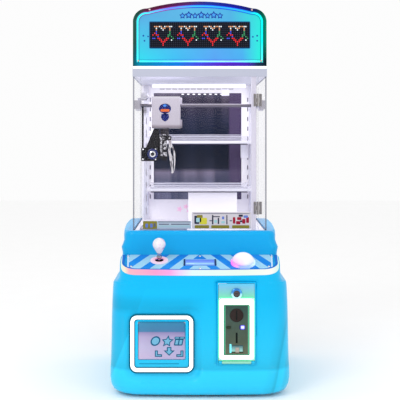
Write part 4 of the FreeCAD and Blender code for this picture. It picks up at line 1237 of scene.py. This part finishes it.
def make_stickers():
    """Labels along the bottom of the front door: plain pictures and bars, with no lettering."""
    y0, y1 = -142.5, -142.05
    back = painted("label_grey", rgb(170, 182, 196), 0.35)
    olive = painted("label_olive", rgb(132, 122, 44), 0.4, tint=0.12)
    line = painted("label_line", rgb(88, 92, 112), 0.4)
    teal = painted("label_teal", rgb(150, 190, 196), 0.4)
    pale = painted("label_pale", rgb(196, 190, 196), 0.4)
    ink = painted("label_ink", rgb(40, 44, 66), 0.4)
    red = painted("label_red", rgb(150, 24, 50), 0.4, tint=0.15)
    yellow = painted("label_yellow", rgb(196, 190, 60), 0.4)
    blue = painted("label_blue", rgb(96, 118, 190), 0.4)
    bits = [
        ("strip", -158, -24, 439.5, 461, back, 0), ("olive", -158, -119, 439.5, 461, olive, 1),
        ("line_a", -114, -85, 451.0, 453.6, line, 1), ("line_b", -80, -28, 451.0, 453.6, line, 1),
        ("line_c", -114, -28, 445.8, 448.4, teal, 1), ("top", -116, -26, 457.6, 459.8, line, 1),
        ("icon_a", -151, -144, 443, 454, blue, 2), ("icon_b", -138, -131, 443, 454, blue, 2),
        ("icon_c", -128, -123, 445, 455, line, 2)]
    bits += [("card", -22, 143, 439.5, 486, pale, 0), ("card_head", -18, 139, 481.0, 482.6, line, 1)]
    for i, (x0, x1) in enumerate(((-14, 26), (32, 82), (90, 138))):
        bits.append(("bar_%d" % i, x0, x1, 441.0, 449.5, olive, 1))
    for i, x in enumerate((27, 83)):
        bits.append(("arrow_%d" % i, x, x + 7, 460.5, 463.5, line, 1))
    bits += [
        ("body_a", -15, -1, 453, 476, ink, 1), ("body_b", -10, 4, 458, 470, teal, 2),
        ("ball", 0, 20, 452, 470, yellow, 2), ("lid", -8, 8, 470, 478, olive, 2),
        ("post_a", 34, 38, 452, 478, ink, 1), ("post_b", 50, 54, 453, 470, ink, 1),
        ("post_c", 74, 77, 452, 478, ink, 1), ("beam", 36, 56, 472, 474.5, ink, 1),
        ("grip_a", 40, 48, 456, 464, teal, 2), ("grip_b", 60, 70, 455, 461, teal, 2),
        ("grip_c", 62, 68, 466, 474, blue, 2), ("toy_a", 92, 99, 454, 472, red, 1),
        ("toy_b", 101, 113, 452, 461, red, 1), ("toy_c", 104, 116, 464, 472, red, 2),
        ("toy_d", 118, 127, 454, 467, red, 2), ("toy_e", 129, 137, 456, 472, red, 1),
        ("toy_f", 108, 120, 473, 479, ink, 1), ("toy_g", 122, 134, 470, 477, blue, 2),
        ("toy_h", 112, 118, 458, 463, ink, 3)]
    for name, x0, x1, z0, z1, material, level in bits:
        shape = rounded_outline(x0, x1, z0, z1, min(2.2, (x1 - x0) * 0.3, (z1 - z0) * 0.3), 4)
        piece = prism("label_" + name, shape, y0 - 0.25 * level - 0.2, y1 - 0.25 * level, material)
        fit(piece, "cabinet_door")
    pink = painted("wall_pink", rgb(250, 196, 226), 0.4, 0.2)
    for i, (cx, cz, r) in enumerate(((-62, 466, 9), (-42, 474, 8), (-34, 460, 6))):
        shape = [
            (
                cx + r * (0.72 + 0.28 * math.cos(5 * a)) * math.cos(a),
                cz + r * (
                    0.72 + 0.28 * math.cos(
                        5 * a)) * math.sin(a)) for a in (2 * math.pi * k / 40 for k in range(40))]
        fit(prism("wall_flower_%d" % i, shape, REAR_Y + 0.3, REAR_Y + 0.8, pink), "machine")


# ---------------------------------------------------------------- gantry and claw

def make_gantry():
    steel = metal("rail_steel", (0.46, 0.44, 0.50), 0.3, stretch=(1, 1, 1), scale=800)
    dress("bridge_rods", metal("rod_steel", (0.20, 0.18, 0.22), 0.3, scale=800))
    dress("gantry_rails", steel)
    dress("bridge_ends", painted("bridge_white", rgb(196, 194, 206), 0.4))
    # Darker towards the cover's lower edge, as painted shade.
    s = Shader("cover_white", rgb(188, 181, 195), 0.38)
    s.base(s.shade(
        s.ramp(
            s.axis(2, 0.720, 0.809),
            [
                (0.0, rgb(120, 112, 122)), (0.07, rgb(150, 141, 152)), (0.12, rgb(184, 177, 190)),
                (0.9, rgb(190, 183, 197)), (1.0, rgb(206, 202, 212))]),
        0.04, 25.0))
    s.surface(900, 0.06, 0.06)
    dress("carriage_cover", s.material)
    navy = plastic("badge_navy", rgb(26, 36, 104), 0.3, tint=0.2)
    orange = plastic("badge_orange", rgb(214, 104, 54), 0.35, tint=0.12)
    sky = plastic("badge_sky", rgb(70, 130, 220), 0.3)
    # A plain badge: a round token over a shield, with one band across it.
    shield = [(-107, 760), (-88, 760), (-86, 750), (-90, 743), (-97.5, 738), (-105, 743), (-109, 750)]
    for name, shape, material, y in (
            ("badge_disc", circle(-97.5, 775.0, 17.0, 28, 0.82), navy, -115.0),
            ("badge_spark", circle(-98.0, 783.5, 5.0, 28, 0.7), sky, -115.4),
            ("badge_shield", shield, navy, -115.0),
            ("badge_band", rounded_outline(-110, -85, 766, 773.5, 3.0, 5), orange, -115.45),
            ("badge_stem", rounded_outline(-101.5, -93.5, 757, 764, 2.0, 5), navy, -115.0)):
        piece = prism(name, shape, y - 0.5, y, material, 0.12)
        fit(piece, "carriage")


def helix(x, y, z0, z1, radius, turns, steps):
    """The centreline of a winding, from z0 up to z1."""
    count = int(turns * steps)
    angles = [2 * math.pi * i / steps for i in range(count + 1)]
    return [(x + radius * math.cos(a), y + radius * math.sin(a), z0 + (z1 - z0) * i / count)
            for i, a in enumerate(angles)]


def coil(name, x, y, z0, z1, radius, wire, turns, material, steps=26):
    """A mesh helix: a round wire wound from z0 up to z1."""
    bm = bmesh.new()
    rings = []
    for i, (cx, cy, cz) in enumerate(helix(x, y, z0, z1, radius, turns, steps)):
        a = 2 * math.pi * i / steps
        outward = [
            (wire * math.cos(b), wire * math.sin(b)) for b in (2 * math.pi * k / 8 for k in range(8))]
        rings.append([(cx + r * math.cos(a), cy + r * math.sin(a), cz + rise) for r, rise in outward])
    rows = loft_rings(bm, rings)
    bm.faces.new(rows[0])
    bm.faces.new(rows[-1])
    return mesh_object(name, bm, material, smooth=50.0)


def dress_claw():
    black = plastic("claw_black", rgb(30, 28, 34), 0.36, grain=1200, tint=0.2, coat=0.15)
    dress("claw_frame", black)
    s = Shader("motor_case", rgb(30, 30, 38), 0.36)
    dark = s.math("GREATER_THAN", s.coord(2), 0.6655)
    s.base(s.shade(s.mix(dark, rgb(20, 21, 29), rgb(18, 16, 22)), 0.3, 50.0))
    s.surface(700, 0.08, 0.06)
    dress("claw_motor", s.material)
    # Dark and bright streaks on the finger are painted reflections on its chrome.
    s = Shader("finger_chrome", (0.7, 0.69, 0.76), 0.14, 1.0)
    s.base(s.ramp(
        s.noise(70.0, 3.0, (1.0, 1.0, 0.35)),
        [
            (0.32, rgb(120, 112, 122)), (0.44, rgb(188, 180, 190)), (0.52, rgb(232, 230, 238)),
            (0.62, rgb(96, 90, 100)), (0.7, rgb(214, 210, 220))]))
    s.surface(200, 0.06, 0.08)
    dress("claw_finger", s.material)


def make_lift_coil():
    """The curly cord between the carriage and the claw."""
    coil_black = plastic("coil_rubber", rgb(84, 80, 88), 0.4, grain=900, tint=0.3)
    centre_x, centre_y, low, high, radius, wire, turns = -100, -75, 701.4, 718.6, 11.0, 1.35, 6
    piece = coil("lift_coil_winding", centre_x, centre_y, low, high, radius, wire, turns, coil_black)
    line = [
        tuple(v * MM for v in point) for point in helix(centre_x, centre_y, low, high, radius, turns, 26)]
    line.reverse()
    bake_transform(piece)
    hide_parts("lift_coil")


def make_motor_ring(bright):
    """The lens and rings on the motor's face."""
    blue = plastic("lens_blue", rgb(30, 40, 96), 0.25, coat=0.5)
    hub = front_lathe(
        "motor_face_ring", [(8.2, 0.0), (8.4, 1.2), (10.2, 2.0), (13.4, 2.0), (15.2, 1.0), (15.4, 0.0)],
        blue, 48, (MOTOR_X, -104.0, MOTOR_Z))
    fit(hub, "claw")
    cap = front_lathe(
        "motor_chrome_cap", [(5.0, -1.0), (5.2, 2.2), (6.6, 3.0), (8.6, 2.4), (9.2, 0.6), (9.2, -1.0)],
        bright, 40, (MOTOR_X, -104.6, MOTOR_Z))
    fit(cap, "claw")
    lens = front_lathe(
        "motor_lens", [(0.0, 1.4), (2.4, 1.2), (4.4, 0.2), (5.1, -1.4), (0.0, -1.4)],
        plastic("lens_black", rgb(10, 10, 14), 0.12, coat=0.8), 32, (MOTOR_X, -104.4, MOTOR_Z))
    fit(lens, "claw")


def make_linkage(bright):
    """The clamp's plates and their nuts."""
    s = Shader("linkage_steel", (0.5, 0.49, 0.55), 0.25, 0.6)
    # Dark and bright flecks on the plates are painted reflections and highlights.
    s.base(s.ramp(
        s.noise(130.0, 3.0),
        [
            (0.36, rgb(30, 28, 34)), (0.48, rgb(88, 84, 94)), (0.56, rgb(222, 220, 230)),
            (0.64, rgb(44, 42, 50))]))
    s.surface(400, 0.08, 0.1)
    for name, x0, x1, z0, z1, y in (
            ("clamp_top", -108, -90.5, 700.2, 703.2, -88.0), ("clamp_cheek", -104, -92, 660, 684, -98.2),
            ("clamp_stay", -112, -106, 642, 686, -97.4), ("clamp_foot", -106, -93, 640, 652, -98.0),
            ("clamp_arm", -114, -100, 686.5, 696, -96.0)):
        part = block(name, x0, x1, y, y + 2.6, z0, z1, s.material, 1.0)
        fit(part, "claw")
    for i, (x, z) in enumerate(((-98, 678), (-98, 665), (-109, 690), (-99, 646))):
        nut = front_lathe(
            "clamp_nut_%d" % i, [(0.0, 1.8), (2.2, 1.8), (2.8, 1.0), (2.9, -0.3)], bright, 6, (x, -98.4, z))
        fit(nut, "claw")


def make_claw():
    bright = metal("lens_chrome", (0.80, 0.80, 0.86), 0.12, scale=300)
    dress_claw()
    make_lift_coil()
    make_motor_ring(bright)
    make_linkage(bright)
    for i, (x, z) in enumerate(((-160, 632), (-160, 660), (-125, 632), (-125, 660))):
        head = front_lathe(
            "motor_screw_%d" % i, [(0.0, 1.0), (1.2, 1.6), (2.2, 1.2), (2.6, 0.0)], bright, 20,
            (x, -100.0, z))
        fit(head, "claw")


# ---------------------------------------------------------------- marquee

def arc_points(a, m, b, steps):
    """Points along the circle arc from a through m towards b, in X and Z."""
    (ax, az), (mx, mz), (bx, bz) = a, m, b
    d = 2 * (ax * (mz - bz) + mx * (bz - az) + bx * (az - mz))
    sa, sm, sb = ax * ax + az * az, mx * mx + mz * mz, bx * bx + bz * bz
    cx = (sa * (mz - bz) + sm * (bz - az) + sb * (az - mz)) / d
    cz = (sa * (bx - mx) + sm * (ax - bx) + sb * (mx - ax)) / d
    r = math.hypot(ax - cx, az - cz)
    start, end = math.atan2(az - cz, ax - cx), math.atan2(bz - cz, bx - cx)
    if end < start:
        end += 2 * math.pi
    return [
        (
            cx + r * math.cos(start + (end - start) * i / steps),
            cz + r * math.sin(start + (end - start) * i / steps)) for i in range(steps)]


def marquee_outline(inset):
    """The marquee's outline, anticlockwise from its lower left corner, drawn in by an inset."""
    x, z0, z1, sx, sz, top = 186.0, 892.5, 1013.0, 147.0, 1052.5, 1072.0
    points = [(-x + 2 * x * i / 30, z0) for i in range(30)]
    points += [(x, z0 + (z1 - z0) * i / 12) for i in range(12)]
    points += arc_points((x, z1), (x - 11, z1 + 29), (sx, sz), 12)
    points += arc_points((sx, sz), (0, top), (-sx, sz), 48)
    points += arc_points((-sx, sz), (-x + 11, z1 + 29), (-x, z1), 12)
    points += [(-x, z1 + (z0 - z1) * i / 12) for i in range(12)]
    moved = []
    for i, (px, pz) in enumerate(points):
        (qx, qz), (rx, rz) = points[i - 1], points[(i + 1) % len(points)]
        ax, az = px - qx, pz - qz
        bx, bz = rx - px, rz - pz
        la, lb = math.hypot(ax, az), math.hypot(bx, bz)
        nx, nz = -(az / la + bz / lb), ax / la + bx / lb
        scale = inset * 2 / (nx * nx + nz * nz)
        moved.append((px + nx * scale, pz + nz * scale))
    return moved


def two_band(name, low_stops, high_stops, strength, body, roughness, coat):
    """Glossy trim whose colour runs along X, with one run low down and another over the arch."""
    s = Shader(name, (body, body, body), roughness)
    s.set("Specular IOR Level", 0.03)
    along = s.axis(0, -0.186, 0.186)
    low = s.ramp(along, [((x + 186) / 372, c) for x, c in low_stops])
    high = s.ramp(along, [((x + 186) / 372, c) for x, c in high_stops])
    rise = s.axis(2, 0.906, 0.960)
    color = s.shade(s.mix(rise, low, high), 0.12, 30.0)
    s.base(color)
    s.glow(color, strength)
    s.surface(500, 0.05, 0.03)
    s.set("Coat Weight", coat)
    return s.material


def dress_marquee_trim():
    # The bezel is black gloss; its coloured runs glow as painted reflections of coloured light.
    bezel = two_band(
        "bezel_gloss",
        [
            (-186, rgb(8, 60, 60)), (-168, rgb(0, 110, 140)), (-60, rgb(6, 100, 182)),
            (-10, rgb(50, 60, 180)), (60, rgb(70, 30, 160)), (130, rgb(60, 30, 150)),
            (160, rgb(20, 40, 70)), (186, rgb(4, 22, 18))],
        [
            (-186, rgb(34, 70, 62)), (-172, rgb(20, 60, 50)), (-150, rgb(70, 26, 50)),
            (-110, rgb(70, 14, 46)), (-30, rgb(66, 30, 80)), (20, rgb(28, 40, 120)),
            (100, rgb(20, 20, 120)), (155, rgb(14, 20, 70)), (174, rgb(0, 70, 50)), (186, rgb(6, 110, 90))],
        0.5, 0.02, 0.16, 0.0)
    dress("marquee_bezel", bezel)
    tube_glow = two_band(
        "tube_glow",
        [
            (-186, rgb(60, 250, 240)), (-120, rgb(60, 226, 240)), (0, rgb(120, 200, 250)),
            (90, rgb(120, 190, 250)), (150, rgb(80, 250, 240)), (186, rgb(70, 255, 225))],
        [
            (-186, rgb(50, 235, 220)), (-150, rgb(50, 190, 230)), (-90, rgb(90, 110, 220)),
            (-20, rgb(50, 150, 245)), (60, rgb(40, 140, 250)), (140, rgb(30, 150, 250)),
            (170, rgb(10, 255, 210)), (186, rgb(0, 255, 205))],
        0.9, 0.02, 0.25, 0.0)
    dress("marquee_light_ring", tube_glow)
    trim = two_band(
        "trim_gloss",
        [(-186, rgb(0, 90, 110)), (0, rgb(60, 80, 210)), (90, rgb(90, 50, 190)), (186, rgb(0, 70, 60))],
        [
            (-186, rgb(10, 110, 120)), (-150, rgb(120, 60, 120)), (-90, rgb(130, 50, 130)),
            (-10, rgb(30, 60, 170)), (100, rgb(30, 50, 190)), (186, rgb(0, 120, 110))],
        0.45, 0.02, 0.2, 0.0)
    for name, a, b, y in (
            ("marquee_outer_trim", 8.6, 10.6, -142.8), ("marquee_inner_trim", 15.2, 17.2, -141.4)):
        ring = front_ring(name, marquee_outline(a), marquee_outline(b), y, y + 1.9, trim, 0.5)
        fit(ring, "machine")


def dress_marquee_face():
    s = Shader("face_print", (0.1, 0.1, 0.12), 0.3)
    along = s.axis(0, -0.17, 0.17)
    top = s.ramp(
        along,
        [
            (0.0, rgb(84, 176, 232)), (0.4, rgb(92, 190, 238)), (0.75, rgb(76, 182, 232)),
            (1.0, rgb(30, 240, 226))])
    low = s.ramp(
        along,
        [
            (0.0, rgb(40, 226, 246)), (0.3, rgb(56, 196, 250)), (0.62, rgb(84, 168, 250)),
            (0.85, rgb(70, 180, 250)), (1.0, rgb(20, 250, 226))])
    rise = s.axis(2, 0.915, 1.03)
    color = s.shade(s.mix(rise, low, top), 0.07, 14.0)
    s.set("Specular IOR Level", 0.03)
    s.base(s.mix(0.85, color, (0.02, 0.03, 0.04)))
    s.glow(color, 0.76)
    s.surface(700, 0.05, 0.03)
    dress("marquee_face", s.material)


def dress_matrix():
    """A grid of unlit pixels on black."""
    s = Shader("matrix_black", rgb(16, 18, 28), 0.4)
    s.set("Specular IOR Level", 0.05)
    dots = []
    for index in (0, 2):
        cell = s.math("FRACT", s.math("DIVIDE", s.coord(index), 0.0054))
        dots.append(s.band(cell, 0.25, 0.75))
    s.base(s.shade(s.mix(s.math("MULTIPLY", *dots), rgb(14, 16, 26), rgb(44, 48, 62)), 0.1, 40.0))
    s.surface(900, 0.05, 0.05)
    dress("marquee_display", s.material)


def make_marquee():
    dress_marquee_trim()
    dress_marquee_face()
    dress_matrix()
    frame = plastic("matrix_edge", rgb(20, 80, 130), 0.35)
    outline_ring(
        "matrix_frame", (-138.6, 138.6, 943.4, 1014.6), 2.2, 1.2, FACE_Y - 1.4, FACE_Y - 0.1, frame)
    make_hearts()
    make_stars()
    # The dark dots stand for small holes in the face, painted as the shade inside them.
    dot = plastic("vent_dot", rgb(30, 84, 160), 0.4)
    for i, (x, z, r) in enumerate((
            (-157, 977, 2.6), (-144, 975, 2.2), (-154, 963, 2.4), (148, 974, 2.4), (160, 977, 2.6),
            (160, 963, 2.4))):
        hole = front_lathe(
            "face_dot_%d" % i, [(r, 0.0), (r, 0.3), (r * 0.6, 0.5), (0.0, 0.5)], dot, 18, (x, FACE_Y, z))
        fit(hole, "machine")
    steel = metal("marquee_screw", (0.55, 0.42, 0.42), 0.25)
    for i, (x, z) in enumerate(((-171, 907), (171, 907), (-139, 1049.5), (145, 1048.5))):
        head = front_lathe(
            "marquee_screw_%d" % i, [(0.0, 0.9), (1.0, 1.6), (2.6, 1.3), (3.3, 0.4), (3.4, -0.2)], steel,
            24, (x, -141.6 if z < 1000 else -142.0, z))
        fit(head, "machine")
    dress("marquee_housing", painted("housing_white", rgb(236, 236, 244), 0.4))
    gap = lamp("underglow", (0.96, 1.0, 1.0), 1.0, 60)
    piece = block("marquee_underglow", -186, 186, -143.4, -141.0, 885.2, 891.8, gap, 0.8)
    fit(piece, "machine")


def heart_cells(columns, rows):
    """The cells of a grid that a heart's outline runs through, as (column, row) from its middle."""
    cells = set()
    for i in range(240):
        t = 2 * math.pi * i / 240
        x = math.sin(t) ** 3
        z = (13 * math.cos(t) - 5 * math.cos(2 * t) - 2 * math.cos(3 * t) - math.cos(4 * t) + 2.5) / 14.5
        cells.add((round(x * columns / 2), round(z * rows / 2)))
    return sorted(cells)


def spark_cells():
    """An arrow's tail and head beside each heart, and sparks over its lobes."""
    tail = [(-6, 0, "red"), (-5, 1, "red"), (-5, -2, "blue"), (-6, -2, "blue")]
    head = [(5, -1, "green"), (5, -3, "white"), (6, -2, "green")]
    sparks = [(-5, 5, "gold"), (5, 5, "white")]
    return tail + head + sparks


def heart_color(column, row):
    """Gold and white over the lobes, blue on the left, green on the right, red at the point."""
    if row <= -2:
        return "red"
    if row >= 3:
        return "white" if (column + row) % 3 == 0 else "gold"
    if column < -2:
        return "blue" if (row + 9) % 3 else "red"
    return "green" if column > 1 else "gold"


def make_hearts():
    """Four plain hearts of lit pixels on the matrix."""
    pitch = 4.7
    glow = {"white": rgb(225, 235, 240), "gold": rgb(214, 150, 110), "green": rgb(60, 150, 96),
            "blue": rgb(70, 80, 220), "red": rgb(226, 40, 44)}
    for key, color in glow.items():
        bm = bmesh.new()
        cells = [(column, row, heart_color(column, row)) for column, row in heart_cells(9, 11)]
        for column, row, mark in cells + spark_cells():
            if mark != key:
                continue
            for middle in (-102, -33, 36, 105):
                x, z = middle + column * pitch, 979 + row * pitch
                add_box(bm, x - 1.6, x + 1.6, FACE_Y - 1.3, FACE_Y - 0.4, z - 1.6, z + 1.6)
        bevelled(bm, 0.3, 1)
        piece = mesh_object("heart_pixels_" + key, bm, lamp("pixel_" + key, color, 0.95, 500))
        fit(piece, "machine")


def star(cx, cz, r, points=5, inner=0.45):
    shape = []
    for i in range(points * 2):
        a = math.pi / 2 + math.pi * i / points
        k = r if i % 2 == 0 else r * inner
        shape.append((cx + k * math.cos(a), cz + k * math.sin(a)))
    return shape


def make_stars():
    """A row of plain outlined stars over the matrix."""
    edge = plastic("star_edge", rgb(22, 50, 150), 0.35, tint=0.15)
    fill = lamp("star_fill", rgb(70, 160, 235), 0.6)
    for i in range(7):
        x, z = -48 + 17.4 * i, 1033 + (1.5 if i % 2 else -0.5)
        r = 11.5 if i % 2 else 9.5
        for name, size, y0, y1, material in (
                ("edge", r, FACE_Y - 0.8, FACE_Y, edge),
                ("fill", r * 0.55, FACE_Y - 1.1, FACE_Y - 0.6, fill)):
            piece = prism("star_%s_%d" % (name, i), star(x, z, size, 5, 0.55), y0, y1, material, 0.12)
            fit(piece, "machine")


# ---------------------------------------------------------------- everything else

def make_rest():
    steel = metal("plain_steel", (0.6, 0.6, 0.64), 0.35, scale=400)
    black = plastic("black_moulding", (0.02, 0.02, 0.024), 0.45, grain=1100, tint=0.2)
    finishes = {
        "chassis_frame": painted("chassis_grey", rgb(150, 152, 160), 0.5),
        "levelling_feet": plastic("foot_rubber", (0.02, 0.02, 0.02), 0.8, grain=500, bump=0.3),
        "prize_chute": metal("chute_steel", (0.7, 0.7, 0.74), 0.3, stretch=(1, 1, 8)),
        "hinge_pins": steel,
        "cash_box": painted("cash_grey", rgb(120, 124, 132), 0.45),
        "power_supply": metal("psu_case", (0.66, 0.67, 0.68), 0.4, scale=300),
        "control_board": plastic("board_mask", (0.01, 0.12, 0.05), 0.35, grain=300, tint=0.3),
        "power_inlet": black,
        "rear_door": painted("rear_door_paint", rgb(52, 54, 60), 0.45),
        "joystick_housing": black,
        "joystick_gimbal": black,
        "button_microswitch": black,
        "carriage_block": metal("bearing_block", (0.6, 0.6, 0.62), 0.3),
        "lift_winch": steel,
    }
    for node, material in finishes.items():
        dress(node, material)
    spring = coil(
        "button_spring_wire", 0, 0, -37, -21, 10.5, 0.9, 5, metal("spring_wire", (0.55, 0.55, 0.58), 0.25))
    spring.data.transform(Matrix.Scale(1 / MM, 4))
    place = Matrix.Translation(panel_spot(*BUTTON)) @ Matrix.Rotation(PANEL_TILT, 4, "X")
    spring.data.transform(Matrix.Scale(MM, 4) @ place)
    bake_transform(spring)
    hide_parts("button_spring")


# ---------------------------------------------------------------- assembly

make_camera()
make_studio()
CYAN = make_shells()
make_panel()
make_joystick()
make_button()
make_prize_door(CYAN)
make_coin_door(CYAN)
make_cabinet()
make_stickers()
make_gantry()
make_claw()
make_marquee()
make_rest()
